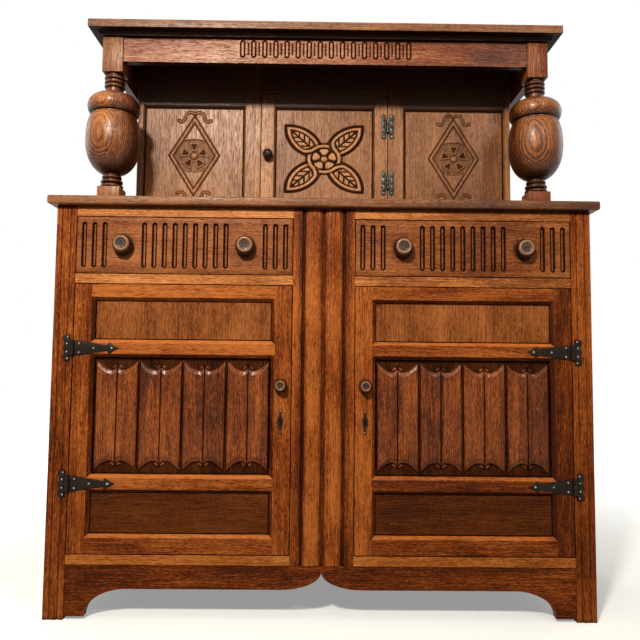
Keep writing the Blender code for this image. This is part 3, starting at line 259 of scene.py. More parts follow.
# Upper frame oak, deeper above 1.18 m: the canopy's shadow, painted.
CANOPY_SHADOW_OAK = oak_set("canopy_shadow_oak", *UPPER_TONES, gloss=0.37, shine=0.24, contrast=0.9,
                        deepen=("Z", 1.180, 1.215, 0.42))
FRIEZE_OAK = oak_set("frieze_oak", (0.098, 0.0185, 0.0042), (0.272, 0.0665, 0.0165), (0.560, 0.3000, 0.1700),
                     gloss=0.37, shine=0.20, contrast=0.95)
DRAWER_OAK = oak_set("drawer_oak", (0.082, 0.0200, 0.0052), (0.245, 0.064, 0.0155), (0.490, 0.168, 0.050),
                     shine=0.11, contrast=1.15)
TURNED_OAK = oak_set("turned_oak", (0.066, 0.0140, 0.0024), (0.240, 0.068, 0.0135), (0.480, 0.172, 0.047),
                     gloss=0.29, shine=0.26, ring=0.0035, slant=1.28, wander=0.040, bands=0.15, contrast=1.2)
KNOB_OAK = oak_set("knob_oak", (0.034, 0.0110, 0.0036), (0.125, 0.045, 0.0160), (0.330, 0.155, 0.068),
                   gloss=0.20, shine=0.34)
INNER_OAK = oak_set("inner_oak", (0.13, 0.056, 0.022), (0.290, 0.145, 0.065), (0.44, 0.25, 0.125),
                    gloss=0.62, shine=0.15)
IRON = iron("black_iron", (0.0025, 0.0015, 0.0010), (0.022, 0.0125, 0.0075), 0.20, 0.44)
WORN_IRON = iron("worn_iron", (0.004, 0.0032, 0.0025), (0.115, 0.095, 0.078), 0.45, 0.40)
BALL_IRON = iron("ball_iron", (0.005, 0.004, 0.003), (0.060, 0.050, 0.042), 0.55, 0.30)
NAIL_IRON = iron("nail_iron", (0.10, 0.085, 0.072), (0.48, 0.42, 0.36), 0.7, 0.36)


# Objects

def middle_of(node):
    """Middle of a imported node's box."""
    low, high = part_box(node)
    return (low + high) / 2


def linked(name, data):
    """New object in the scene."""
    made = bpy.data.objects.new(name, data)
    bpy.context.scene.collection.objects.link(made)
    return made


def place(name, mesh, surfaces, body, node):
    """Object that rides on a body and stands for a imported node."""
    for surface in surfaces:
        mesh.materials.append(surface)
    made = linked(name, mesh)
    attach(made, body)
    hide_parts(node)
    return made


def eased(made, width, angle=38):
    """Edges softened by handling."""
    modifier = made.modifiers.new("ease", "BEVEL")
    modifier.width = width
    modifier.segments = 2
    modifier.limit_method = "ANGLE"
    modifier.angle_limit = math.radians(angle)
    modifier.harden_normals = True
    return made


def set_values(mesh, title, domain, values):
    """Attribute of a mesh's points or faces."""
    mesh.attributes.new(title, "FLOAT", domain).data.foreach_set("value", values)


def lifted(made, amount):
    """Piece paler or, below nought, deeper all over than its fellows, for its own wood tone and for painted
    falloff of the light.
    """
    set_values(made.data, "lift", "FACE", [amount] * len(made.data.polygons))
    return made


def shaded(made, tone):
    """Piece with painted light and shade: its wood paler or deeper from place to place, by a function of
    point and normal.
    """
    set_values(made.data, "lift", "POINT", [tone(vertex.co, vertex.normal) for vertex in made.data.vertices])


def smoothed(mesh, sharp):
    """Mesh smooth where its faces meet at angles below the sharp one, in degrees."""
    mesh.shade_smooth()
    mesh.set_sharp_from_angle(angle=math.radians(sharp))
    return mesh


def mesh_of(name, shape, sharp):
    """Mesh from a bmesh."""
    bmesh.ops.recalc_face_normals(shape, faces=shape.faces)
    mesh = bpy.data.meshes.new(name)
    shape.to_mesh(mesh)
    shape.free()
    return smoothed(mesh, sharp)


def shaped(name, shape, surfaces, body, node, sharp=36):
    """Object from a bmesh."""
    return place(name, mesh_of(name, shape, sharp), surfaces, body, node)


def dress(node, surface, ease=EASE):
    """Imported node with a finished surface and, unless ease is 0, softened edges."""
    made = NODES[node]
    for holder in made.material_slots:
        holder.link = "OBJECT"
        holder.material = surface
    if ease:
        weld = made.modifiers.new("weld", "WELD")
        weld.merge_threshold = 0.00002
        eased(made, ease)


def box(shape, low, high, surface=0):
    """Box added to a bmesh."""
    made = bmesh.ops.create_cube(shape, size=1.0)["verts"]
    bmesh.ops.scale(shape, vec=[b - a for a, b in zip(low, high)], verts=made)
    bmesh.ops.translate(shape, vec=[(a + b) / 2 for a, b in zip(low, high)], verts=made)
    for face in {face for vertex in made for face in vertex.link_faces}:
        face.material_index = surface
    return made


def loft(shape, rings, surface=0):
    """Closed skin through rings of equal point counts, added to a bmesh."""
    loops = [[shape.verts.new(point) for point in ring] for ring in rings]
    faces = [shape.faces.new(loops[0][::-1]), shape.faces.new(loops[-1])]
    for lower, upper in zip(loops, loops[1:]):
        for i in range(len(lower)):
            faces.append(shape.faces.new((lower[i - 1], lower[i], upper[i], upper[i - 1])))
    for face in faces:
        face.material_index = surface
    return [vertex for loop in loops for vertex in loop]


def prism(shape, outline, axis, start, end, surface=0):
    """Outline pushed along Y or Z, added to a bmesh."""
    put = {"Y": lambda u, v, w: (u, w, v), "Z": lambda u, v, w: (u, v, w)}[axis]
    return loft(shape, [[put(u, v, w) for u, v in outline] for w in (start, end)], surface)


def arc(centre, radii, start, end, steps):
    """Points of an elliptical arc, angles in degrees."""
    turns = np.radians(np.linspace(start, end, steps + 1))
    return [(centre[0] + radii[0] * math.cos(a), centre[1] + radii[1] * math.sin(a)) for a in turns]


def lathe(shape, profile, matrix, steps, surface=0):
    """Solid of revolution about Z from (radius, height) points, then carried to its place."""
    turns = [2 * math.pi * i / steps for i in range(steps)]
    rings = [[matrix @ Vector((r * math.cos(a), r * math.sin(a), h)) for a in turns] for r, h in profile]
    loft(shape, rings, surface)


def bevelled(shape, edges, width, segments=2):
    """Edges of a bmesh rounded."""
    bmesh.ops.bevel(shape, geom=list(edges), offset=width, segments=segments, profile=0.5, affect="EDGES")


# Carved slabs

def slab(name, xs, zs, rise, stain_shade_and_sheen, face, back, surface, body, node):
    """Board whose front is carved to a rise over its face, with stain and painted shade where the carving is
    deep, and wear and painted sheen where that value is below nought.
    """
    grid_x, grid_z = np.meshgrid(xs, zs)
    points = np.stack([grid_x, face - rise, grid_z], axis=-1).reshape(-1, 3)
    corners = [(xs[0], back, zs[0]), (xs[-1], back, zs[0]), (xs[-1], back, zs[-1]), (xs[0], back, zs[-1])]
    first = len(points)
    index = np.arange(first).reshape(rise.shape)
    quads = np.stack([index[:-1, :-1], index[:-1, 1:], index[1:, 1:], index[1:, :-1]], axis=-1).reshape(-1, 4)
    walls = [
        [*index[0, ::-1].tolist(), first, first + 1],
        [*index[-1, :].tolist(), first + 2, first + 3],
        [*index[:, 0].tolist(), first + 3, first],
        [*index[::-1, -1].tolist(), first + 1, first + 2],
        [first, first + 3, first + 2, first + 1],
    ]
    mesh = bpy.data.meshes.new(name)
    mesh.from_pydata(points.tolist() + corners, [], quads.tolist() + walls)
    smoothed(mesh, sharp=60)
    # The cavity attribute carries stain and painted shade, and below nought wear and painted sheen.
    set_values(mesh, "cavity", "POINT", [*np.clip(stain_shade_and_sheen, -1.0, 1.0).ravel(), *[0.0] * len(corners)])
    return place(name, mesh, [surface], body, node)


def smooth(low, high, value):
    """Soft step from 0 at low to 1 at high."""
    share = np.clip((value - low) / (high - low), 0.0, 1.0)
    return share * share * (3.0 - 2.0 * share)


def bulge(distance, half):
    """Rounded bead: 1 on its middle line, 0 at its edges."""
    return np.sqrt(np.clip(1.0 - (distance / half) ** 2, 0.0, None))


def notch(distance, half):
    """Cut with sloping sides: 1 on its middle line, 0 at its edges."""
    return np.clip(1.0 - np.abs(distance) / half, 0.0, None)


def least(*values):
    """Smallest of several values at each point."""
    made = values[0]
    for value in values[1:]:
        made = np.minimum(made, value)
    return made


def to_path(x, z, points):
    """Distance to a chain of straight pieces."""
    nearest = np.full(x.shape, 1e9)
    for (ax, az), (bx, bz) in zip(points, points[1:]):
        dx, dz = bx - ax, bz - az
        share = np.clip(((x - ax) * dx + (z - az) * dz) / (dx * dx + dz * dz), 0.0, 1.0)
        nearest = np.minimum(nearest, np.hypot(x - ax - share * dx, z - az - share * dz))
    return nearest


def to_rim(xs, zs):
    """Distance of each grid point to the nearest edge of the grid."""
    return least((xs - xs[0])[None, :], (xs[-1] - xs)[None, :], (zs - zs[0])[:, None], (zs[-1] - zs)[:, None])


def to_oval(x, z, half_w, half_h):
    """Distance of each point to the middle line of an upright, round-ended cut."""
    return np.hypot(x, np.clip(np.abs(z) - (half_h - half_w), 0.0, None))


def rays(x, z, count, first):
    """Distances along and across each of several rays from the middle, the first at an angle in degrees."""
    for k in range(count):
        turn = math.radians(first + 360 / count * k)
        yield x * math.cos(turn) + z * math.sin(turn), z * math.cos(turn) - x * math.sin(turn)


def curve(points, steps=10):
    """Smooth chain through points."""
    padded = [points[0], *points, points[-1]]
    made = []
    for a, b, c, d in zip(padded, padded[1:], padded[2:], padded[3:]):
        for i in range(steps):
            t = i / steps
            made.append(tuple(
                0.5 * (2 * q + (r - p) * t + (2 * p - 5 * q + 4 * r - s) * t ** 2
                       + (3 * q - p - 3 * r + s) * t ** 3)
                for p, q, r, s in zip(a, b, c, d)))
    return made + [points[-1]]


def grid_lines(*groups):
    """Groups of grid lines put in order, each line once."""
    return np.unique(np.round(np.concatenate(groups), 6))


def carved_lozenge(x, z):
    """Rise of a lozenge with a rose and scrolls, and the stain and painted shade in its cuts, about its
    middle.
    """
    half_w, half_h = 0.0645, 0.1045
    grooves, groove_half, groove_deep = (0.0012, 0.0112), 0.0022, 0.0024
    field_edge, field_deep, slope = 0.0128, 0.0019, 0.0016
    petal_start, petal_end = 0.0105, 0.0335
    boss, boss_half = 0.0098, 0.0084
    normal = half_w * half_h / math.hypot(half_w, half_h)
    inside = (1.0 - np.abs(x) / half_w - np.abs(z) / half_h) * normal
    radius = np.hypot(x, z)
    top = 0.0415 - 0.0045 * (x / 0.029) ** 2
    field = smooth(0.0, slope, inside - field_edge) * smooth(0.0, slope, top - np.abs(z))
    line = notch(np.abs(z) - top, 0.0014) * (inside > field_edge)
    flower = np.zeros(x.shape)
    hollow = np.zeros(x.shape)
    for along, side in rays(x, z, 5, 90):
        wide = 0.0050 + np.clip(along - petal_start, 0.0, None) * 0.42
        depth = least((wide - np.abs(side)) * 0.92, petal_end - along, along - petal_start)
        flower = np.maximum(flower, smooth(0.0, 0.0014, depth))
        hollow = np.maximum(hollow, smooth(0.0034, 0.0050, depth))
    rise = 0.0010 * bulge(inside - 0.0062, 0.0032) - field_deep * field + 0.0030 * flower - 0.0026 * hollow
    rise = np.where(radius < boss, 0.0040 * bulge(radius, boss_half) - field_deep, rise) - 0.0008 * line
    stain_shade_and_sheen = field * (1.0 - flower) * 0.42 + hollow * 0.9 + line * 0.9
    stain_shade_and_sheen = np.where(radius < boss, smooth(0.0070, 0.0090, radius), stain_shade_and_sheen)
    for groove in grooves:
        rise -= groove_deep * notch(inside - groove, groove_half)
        stain_shade_and_sheen += notch(inside - groove, 0.0026)
    upper = [(0.0, 0.1065), (0.0095, 0.1105), (0.0190, 0.1075), (0.0235, 0.0985), (0.0265, 0.0905),
             (0.0330, 0.0865), (0.0400, 0.0900)]
    lower = [(0.0190, -0.1090), (0.0215, -0.0985), (0.0275, -0.0930), (0.0345, -0.0925), (0.0400, -0.0965)]
    for scroll in (upper, lower):
        away = to_path(np.abs(x), z, curve(scroll))
        rise += 0.0009 * bulge(away, 0.0018) - 0.0016 * notch(away - 0.0030, 0.0016)
        stain_shade_and_sheen += 0.95 * notch(away - 0.0028, 0.0020)
    return rise, stain_shade_and_sheen


def carved_leaves(x, z):
    """Rise of four veined leaves round a flower in a ring, and the stain, painted shade and painted sheen in
    it, about its middle.

    The carving is drawn in a unit of its own, a little wider than high. Rises are in metres.
    """
    unit_x, unit_z = 0.00244 * 1.065, 0.00244 * 0.930
    half_long, half_wide, middle = 24.6, 11.4, 27.4
    leaf_root, ring_at, core_edge, boss = 16.4, 14.6, 12.3, 3.7
    vein_pitch = 6.9
    stem = curve([(22.6, 8.5), (20.4, 8.0), (18.0, 6.3), (16.2, 4.0), (15.0, 1.4), (14.5, -1.4), (13.6, -5.0),
                  (12.4, -7.6)], 4)
    x, z = x / unit_x, z / unit_z
    radius = np.hypot(x, z)
    bend = (half_long ** 2 + half_wide ** 2) / (2 * half_wide)
    reach = bend - half_wide
    rise = np.zeros(x.shape)
    stain_shade_and_sheen = np.zeros(x.shape)
    for out, side in rays(x, z, 4, 45):
        along = out - middle
        inside = bend - np.maximum(np.hypot(along, side + reach), np.hypot(along, side - reach))
        outer = ((radius > leaf_root) & (out > 0.0)).astype(float)
        band = bulge(inside - 2.6, 1.6) * outer
        edge = np.minimum(1.8 * notch(inside + 0.25, 1.8), 1.0) * outer
        within = smooth(3.9, 4.5, inside) * outer
        lobe = np.mod(along - 0.95 * np.abs(side) + 1.0, vein_pitch) / vein_pitch
        leaflet = smooth(0.21, 0.30, lobe) * smooth(1.0, 0.94, lobe)
        leaflet *= smooth(5.2, 5.8, inside) * smooth(0.65, 1.05, np.abs(side))
        rise += 0.0011 * band - 0.0028 * edge - 0.0024 * within * (1.0 - leaflet)
        stain_shade_and_sheen += edge * 1.45 + within * (1.0 - 1.7 * leaflet) - 0.8 * band
    ring = bulge(radius - ring_at, 1.7)
    gap = np.maximum(notch(radius - core_edge, 1.2), notch(radius - 17.1, 1.5))
    core = smooth(12.6, 12.0, radius)
    petals = np.zeros(x.shape)
    for along, side in rays(x, z, 5, 90):
        wide = 1.3 + np.clip(along - 3.8, 0.0, None) * 0.70
        rounded = 4.9 ** 2 - np.clip(along - 8.2, 0.0, None) ** 2 * 1.2
        wide = np.minimum(wide, np.sqrt(np.clip(rounded, 0.0, None)))
        depth = least(wide - np.abs(side), 11.7 - along + 0.18 * np.abs(side), along - 4.2)
        petals = np.maximum(petals, smooth(0.0, 0.8, depth))
    rise = np.where(radius < leaf_root, np.minimum(rise, 0.0), rise)
    rise += 0.0012 * ring - 0.0022 * gap - 0.0024 * core * (1.0 - petals)
    rise = np.where(radius < boss, 0.0036 * bulge(radius, 3.1) - 0.0024, rise)
    flower = gap * 1.4 + core * (1.0 - 1.8 * petals) - 0.8 * ring
    stain_shade_and_sheen = np.where(radius < leaf_root, flower, stain_shade_and_sheen + 1.3 * gap)
    stain_shade_and_sheen = np.where(radius < boss, 1.9 * smooth(2.6, 3.3, radius) - 0.9, stain_shade_and_sheen)
    for out, side in rays(x, z, 4, 45):
        away = to_path(out, side, stem)
        over = smooth(4.2, 3.8, away) * smooth(21.4, 20.4, radius) * smooth(11.4, 12.0, radius)
        over *= smooth(-3.4, -2.4, side) * (out > 0.0)
        rise = rise * (1.0 - over) + over * (0.0012 * bulge(away, 1.8) - 0.0028 * notch(away - 2.7, 1.3))
        stain_shade_and_sheen = stain_shade_and_sheen * (1.0 - over) + over * (1.7 * notch(away - 2.6, 1.5) - 0.8 * bulge(away, 1.6))
    return rise, stain_shade_and_sheen


def falloff_right(x):
    """Share of the way into the painted shade of the right half, where the light falls off."""
    return min(max((x - 0.02) / 0.38, 0.0), 1.0)


def upper_panels():
    """Carved panels of the upper cupboard."""
    sunk, step, rim_shadow = 0.006, 0.001, (0.0042, 0.0025)
    for name, body, carve, raised in (
        ("carved_panel_left", "case", carved_lozenge, -0.002),
        ("carved_panel_right", "case", carved_lozenge, -0.002),
        ("upper_door_panel", "upper_door", carved_leaves, -0.006),
    ):
        low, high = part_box(name)
        middle = middle_of(name)
        xs, zs = (np.linspace(a, b, round((b - a) / step) + 1) for a, b in ((low.x, high.x), (low.z, high.z)))
        rise, stain_shade_and_sheen = carve(*np.meshgrid(xs - middle.x, zs - middle.z - raised))
        fade = smooth(0.0, 0.002, to_rim(xs, zs))
        # Painted shadow along the top and both sides of each panel, darkest at its rim.
        from_shadowed_rim = least((xs - low.x)[None, :], (high.x - xs)[None, :], (high.z - zs)[:, None])
        stain_shade_and_sheen = stain_shade_and_sheen * fade + 1.2 * smooth(*rim_shadow, from_shadowed_rim)
        made = slab(name.replace("panel", "carving"), xs, zs, rise * fade, stain_shade_and_sheen, UPPER_FRONT + sunk, high.y,
                    UPPER_OAK["Z"], body, name)
        # Paler on the left, deeper to the right: painted light falling off to the right.
        shaded(made, lambda point, normal: 0.09 - 0.13 * falloff_right(point.x))


def frieze():
    """Front frieze with a row of upright ovals and short cuts between them."""
    count, pitch, half_w, half_h = 16, 0.0257, 0.0058, 0.0205
    line_at, line_half, line_deep = 0.0013, 0.0015, 0.0026
    cut_tall, cut_half, cut_deep = 0.0150, 0.0014, 0.0016
    low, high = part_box("frieze_front")
    middle = low.z + 0.034
    ovals = [(i - (count - 1) / 2) * pitch for i in range(count)]
    cuts = [spot + pitch / 2 for spot in ovals]
    xs = grid_lines(np.linspace(low.x, high.x, 60),
                    *(spot + np.linspace(-half_w * 1.3, half_w * 1.3, 19) for spot in ovals),
                    *(spot + np.linspace(-0.0016, 0.0016, 5) for spot in cuts))
    zs = grid_lines([low.z, low.z + 0.0015, high.z - 0.0015, high.z],
                    middle + np.linspace(-half_h - 0.002, -half_h + 0.008, 17),
                    middle + np.linspace(half_h - 0.008, half_h + 0.002, 17),
                    middle + np.linspace(-0.012, 0.012, 5))
    grid_x, grid_z = np.meshgrid(xs, zs - middle)
    # A paler patch over the carved band, strongest towards the left: painted sheen.
    sheen_and_wear = smooth(0.0, 0.004, count * pitch / 2 - np.abs(grid_x))
    sheen_and_wear *= smooth(0.0, 0.003, half_h + 0.002 - np.abs(grid_z))
    stain_shade_and_sheen = -0.40 * sheen_and_wear * smooth(0.26, -0.06, grid_x)
    rise = np.zeros(grid_x.shape)
    for spot in ovals:
        inside = half_w - to_oval(grid_x - spot, grid_z, half_w, half_h)
        rise += 0.0006 * smooth(0.0026, 0.0045, inside) - line_deep * notch(inside - line_at, line_half)
        stain_shade_and_sheen += 3.2 * notch(inside - 0.0012, 0.0024)
    for spot in cuts[:-1]:
        short = (np.abs(grid_z) < cut_tall).astype(float)
        rise -= cut_deep * notch(grid_x - spot, cut_half) * short
        stain_shade_and_sheen += 2.8 * notch(grid_x - spot, 0.0019) * short
    made = slab("frieze_nulling", xs, zs, rise, stain_shade_and_sheen, low.y, high.y, FRIEZE_OAK["X"], "case", "frieze_front")
    # Deeper to the right: painted light falling off to the right.
    shaded(made, lambda point, normal: 0.05 - 0.23 * falloff_right(point.x))
    # Its underside takes the near-black oak, as painted shade.
    made.data.materials.append(PAINTED_SHADE_OAK["X"])
    for face in made.data.polygons:
        if face.normal.z < -0.9 and face.center.z < low.z + 1e-5:
            face.material_index = 1


def drawer_fronts():
    """Drawer faces with round-ended flutes."""
    half_w, depth, pitch, inner_count, outer_count = 0.0058, 0.0048, 0.0226, 9, 3
    above, beside, chamfer, chamfer_deep = 0.0118, 0.0175, 0.0012, 0.0008
    # The right drawer deeper and the left paler: painted light falling off to the right.
    painted_falloff = {"left": 0.03, "right": -0.05}
    for name in SIDES:
        node = f"drawer_{name}_front"
        low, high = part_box(node)
        middle = middle_of(node)
        half_h = (high.z - low.z) / 2 - above
        outermost = (high.x - low.x) / 2 + CLEARANCE - beside
        flutes = [(i - (inner_count - 1) / 2) * pitch for i in range(inner_count)]
        flutes += [sign * (outermost - i * pitch) for i in range(outer_count) for sign in (-1, 1)]
        ends = np.linspace(0.0, 0.0085, 13) - half_h - 0.001
        xs = grid_lines([low.x, low.x + chamfer, high.x - chamfer, high.x],
                        *(middle.x + spot + np.linspace(-0.0068, 0.0068, 17) for spot in flutes))
        zs = grid_lines([low.z, low.z + chamfer, high.z - chamfer, high.z], middle.z + ends, middle.z - ends,
                        middle.z + np.linspace(-0.035, 0.035, 5))
        grid_x, grid_z = np.meshgrid(xs - middle.x, zs - middle.z)
        rise = -chamfer_deep * smooth(chamfer, 0.0, to_rim(xs, zs))
        stain_shade_and_sheen = np.zeros(grid_x.shape)
        for spot in flutes:
            away = to_oval(grid_x - spot, grid_z, half_w, half_h)
            rise -= depth * bulge(away, half_w)
            # Flute edges darker as stain and painted shade, their middles paler as a painted highlight.
            stain_shade_and_sheen += (1.20 * smooth(0.0003, 0.0024, away) - 0.20) * (away < half_w)
        lifted(slab(f"drawer_{name}_fluting", xs, zs, rise, stain_shade_and_sheen, low.y, high.y, DRAWER_OAK["X"],
                    f"drawer_{name}", node), painted_falloff[name])


def linenfolds():
    """Linenfold panels: crowned strips in pairs, quirks, deep grooves between folds and scooped ends."""
    folds, margin, end_margin, relief, sunk = 4, 0.002, 0.0045, 0.0072, 0.015
    groove, quirk, roll = 0.0048, 0.0018, 0.0105
    scoop_deep, scoop_rise, deepest = 0.0235, 0.0062, 0.78
    # Both panels a little deeper, the right one more: painted light falling off to the right.
    painted_falloff = {"left": -0.03, "right": -0.10}
    for name in SIDES:
        node = f"door_{name}_linenfold_panel"
        low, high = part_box(node)
        width = (high.x - low.x - 2 * margin) / folds
        half = width / 2
        across = np.concatenate([np.linspace(0.0, 0.0065, 12), np.linspace(0.0085, half - 0.0045, 13),
                                 np.linspace(half - 0.0036, half, 7)])
        starts = [low.x + margin + fold * width for fold in range(folds)]
        ends = np.linspace(0.0, 0.040, 54)
        xs = grid_lines([low.x, high.x], *(start + across for start in starts),
                        *(start + width - across for start in starts))
        zs = grid_lines(low.z + ends, high.z - ends, np.linspace(low.z + 0.05, high.z - 0.05, 8))
        grid_x, grid_z = np.meshgrid(xs, zs)
        place_in = np.mod(grid_x - low.x - margin, width)
        from_edge = np.minimum(place_in, width - place_in)
        from_middle = half - from_edge
        share = np.clip(from_edge / half, 0.0, 1.0)
        crown = np.clip((from_edge - groove) / (half - quirk - groove), 0.0, 1.0)
        section = relief * smooth(0.0012, 0.0040, from_edge) * 0.80 + 0.0016 * np.sin(np.pi * crown)
        section += 0.0022 * bulge(from_edge, 0.0012) - 0.0030 * notch(from_middle, 0.0019)
        past = np.clip(share - deepest, 0.0, None) / (1 - deepest)
        scoop = np.where(share < deepest, scoop_deep * np.sin(np.pi / 2 * share / deepest),
                         scoop_deep - scoop_rise * past ** 1.5)
        to_end = np.minimum(grid_z - low.z, high.z - grid_z) - end_margin - scoop
        slope = np.clip(to_end / roll, 0.0, 1.0)
        cut = smooth(-0.0018, 0.0008, to_end) * (0.42 + 0.58 * slope ** 0.9)
        rise = section * cut + 0.0007 * notch(to_end - 0.0108, 0.0012) * smooth(0.0035, 0.0060, from_edge)
        lobe = np.hypot((from_middle - 0.0068) / 0.0056, (to_end + 0.0055) / 0.0040)
        rise += 0.0026 * bulge(lobe, 1.0) * (to_end < 0.0)
        outside = (grid_x < low.x + margin - 1e-7) | (grid_x > high.x - margin + 1e-7)
        rise = np.where(outside, 0.0, rise)
        # Stain and painted shade darken the grooves, the quirks, the strips towards their edges as if
        # rounded, the ground past the scooped ends and the panel's rim; the beads at the fold edges are
        # paler, a painted highlight.
        stain_shade_and_sheen = 0.95 * smooth(0.0036, 0.0014, from_edge) - 0.75 * bulge(from_edge, 0.0010)
        stain_shade_and_sheen = np.clip(stain_shade_and_sheen, 0.0, 1.0) + 0.85 * notch(from_middle, 0.0020)
        stain_shade_and_sheen += 0.30 * smooth(0.011, 0.003, from_edge) + 0.20 * smooth(0.006, 0.0, from_middle)
        stain_shade_and_sheen *= smooth(-0.002, 0.002, to_end)
        stain_shade_and_sheen += 0.80 * notch(to_end + 0.0012, 0.0022) + 0.45 * notch(to_end - 0.0112, 0.0016)
        stain_shade_and_sheen += 0.80 * notch(lobe - 1.0, 0.35) * (to_end < 0.0)
        stain_shade_and_sheen += 0.80 * (to_end < -0.0016) * (1.0 - bulge(lobe, 1.0))
        stain_shade_and_sheen += 0.6 * smooth(0.003, 0.0, to_rim(xs, zs))
        lifted(slab(f"door_{name}_linenfold", xs, zs, rise, stain_shade_and_sheen, FRONT + sunk, high.y, FOLD_OAK["Z"],
                    f"door_{name}", node), painted_falloff[name])


# Framed pieces

class Shell:
    """Corners and faces of a framed piece, each face with its surface and its board."""

    def __init__(self):
        self.points, self.known, self.faces = [], {}, []

    def corner(self, point):
        """Number of a corner, shared where corners coincide."""
        key = tuple(round(c, 6) for c in point)
        if key not in self.known:
            self.known[key] = len(self.points)
            self.points.append(key)
        return self.known[key]

    def face(self, points, surface, board):
        """Add a face."""
        self.faces.append(([self.corner(p) for p in points], surface, board))

    def box(self, low, high, surface, board):
        """Add a closed box, with corners of its own."""
        self.known = {}
        corners = list(itertools.product(*zip(low, high)))
        for side in ((0, 4, 5, 1), (2, 3, 7, 6), (0, 2, 6, 4), (1, 5, 7, 3), (0, 1, 3, 2), (4, 6, 7, 5)):
            self.face([corners[i] for i in side], surface, board)

    def build(self, name, surfaces, body, node, ease=EASE):
        """Object from the faces, with the grain shift and the tone of each face's board."""
        shape = bmesh.new()
        verts = [shape.verts.new(point) for point in self.points]
        for corners, surface, _ in self.faces:
            made = shape.faces.new([verts[i] for i in corners])
            made.material_index = surface
        mesh = mesh_of(name, shape, sharp=30)
        for place_in, title in enumerate(("board", "lift")):
            set_values(mesh, title, "FACE", [board[place_in] for _, _, board in self.faces])
        eased(place(name, mesh, surfaces, body, node), ease, angle=28)


def framed(shell, outer, openings, bevel, depth, put, boards):
    """Stiles and rails round stacked openings with bevelled front edges.

    put carries (u, v, depth) to its place. boards are the (grain shift, tone) of both stiles and then of the
    rails from the lowest up.
    """
    # Bevels at the sides and top of each opening are deeper, painted shade; the bottom bevel, facing up, is
    # paler, a painted highlight.
    painted_side_shade, painted_under_shade, painted_ledge_highlight = -0.28, -0.34, 0.30
    u0, u1, v0, v1 = outer
    a0, a1 = openings[0][:2]
    left, right = a0 - bevel, a1 + bevel
    rows = [row[2:] for row in openings]
    fronts = [v0, *(v for b0, b1 in rows for v in (b0 - bevel, b1 + bevel)), v1]
    backs = [v0, *(v for row in rows for v in row), v1]
    shell.known = {}

    def face(points, surface, board, change=0.0):
        shell.face([put(*p) for p in points], surface, (board[0], board[1] + change))

    for outside, edge, near, board in ((u0, a0, left, boards[0]), (u1, a1, right, boards[1])):
        face([(outside, v0, 0.0), *((near, v, 0.0) for v in fronts), (outside, v1, 0.0)], 0, board)
        face([(outside, v0, depth), *((edge, v, depth) for v in backs), (outside, v1, depth)], 0, board)
        face([(outside, v0, 0.0), (outside, v1, 0.0), (outside, v1, depth), (outside, v0, depth)], 0, board)
        for v in (v0, v1):
            face([(outside, v, 0.0), (near, v, 0.0), (edge, v, depth), (outside, v, depth)], 0, board)
    for k, board in enumerate(boards[2:]):
        under, over = fronts[2 * k:2 * k + 2]
        low, high = backs[2 * k:2 * k + 2]
        face([(left, under, 0.0), (right, under, 0.0), (right, over, 0.0), (left, over, 0.0)], 1, board)
        face([(a0, low, depth), (a0, high, depth), (a1, high, depth), (a1, low, depth)], 1, board)
    for v, board in ((v0, boards[2]), (v1, boards[-1])):
        face([(left, v, 0.0), (right, v, 0.0), (a1, v, depth), (a0, v, depth)], 1, board)
    for k, (b0, b1) in enumerate(rows):
        rim = [(left, b0 - bevel), (right, b0 - bevel), (right, b1 + bevel), (left, b1 + bevel)]
        inner = [(a0, b0), (a1, b0), (a1, b1), (a0, b1)]
        looks = ((0, boards[0], painted_side_shade), (1, boards[2 + k], painted_ledge_highlight), (0, boards[1], painted_side_shade),
                 (1, boards[3 + k], painted_under_shade))
        for i, (surface, board, change) in enumerate(looks):
            (a, b), (c, d) = inner[i - 1], inner[i]
            face([(*rim[i - 1], 0.0), (*rim[i], 0.0), (c, d, bevel), (a, b, bevel)], surface, board, change)
            face([(a, b, bevel), (c, d, bevel), (c, d, depth), (a, b, depth)], surface, board)


def opening(node):
    """Sides, bottom and top of the opening round a packed panel."""
    low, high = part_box(node)
    return low.x - GAP, high.x + GAP, low.z - GAP, high.z + GAP


def door_frames():
    """Stiles and rails of the lower doors."""
    # Tones differ board by board; the right door's run lower on the whole, painted shade where the light
    # falls off to the right.
    boards = {
        "left": [(0.11, 0.02), (0.43, -0.02), (0.71, 0.02), (0.29, 0.10), (0.87, 0.30), (0.53, 0.24)],
        "right": [(0.37, 0.10), (0.79, -0.20), (0.17, -0.08), (0.61, -0.03), (0.03, 0.16), (0.93, 0.12)],
    }
    for name in SIDES:
        node = f"door_{name}_frame"
        low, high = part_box(node)
        openings = [opening(f"door_{name}_{panel}_panel") for panel in ("bottom", "linenfold", "top")]
        shell = Shell()
        framed(shell, (low.x, high.x, low.z, high.z), openings, 0.007, high.y - low.y,
               lambda u, v, d: (u, FRONT + d, v), boards[name])
        shell.build(f"door_{name}_framing", [FRAME_OAK["Z"], FRAME_OAK["X"]], f"door_{name}", node, 0.0013)
        dress(f"door_{name}_top_panel", PANEL_OAK["Z"])
        # The bottom panels take a darker oak: a deeper wood, and painted shade where the light falls off
        # towards the floor.
        dress(f"door_{name}_bottom_panel", DARK_OAK["X"])


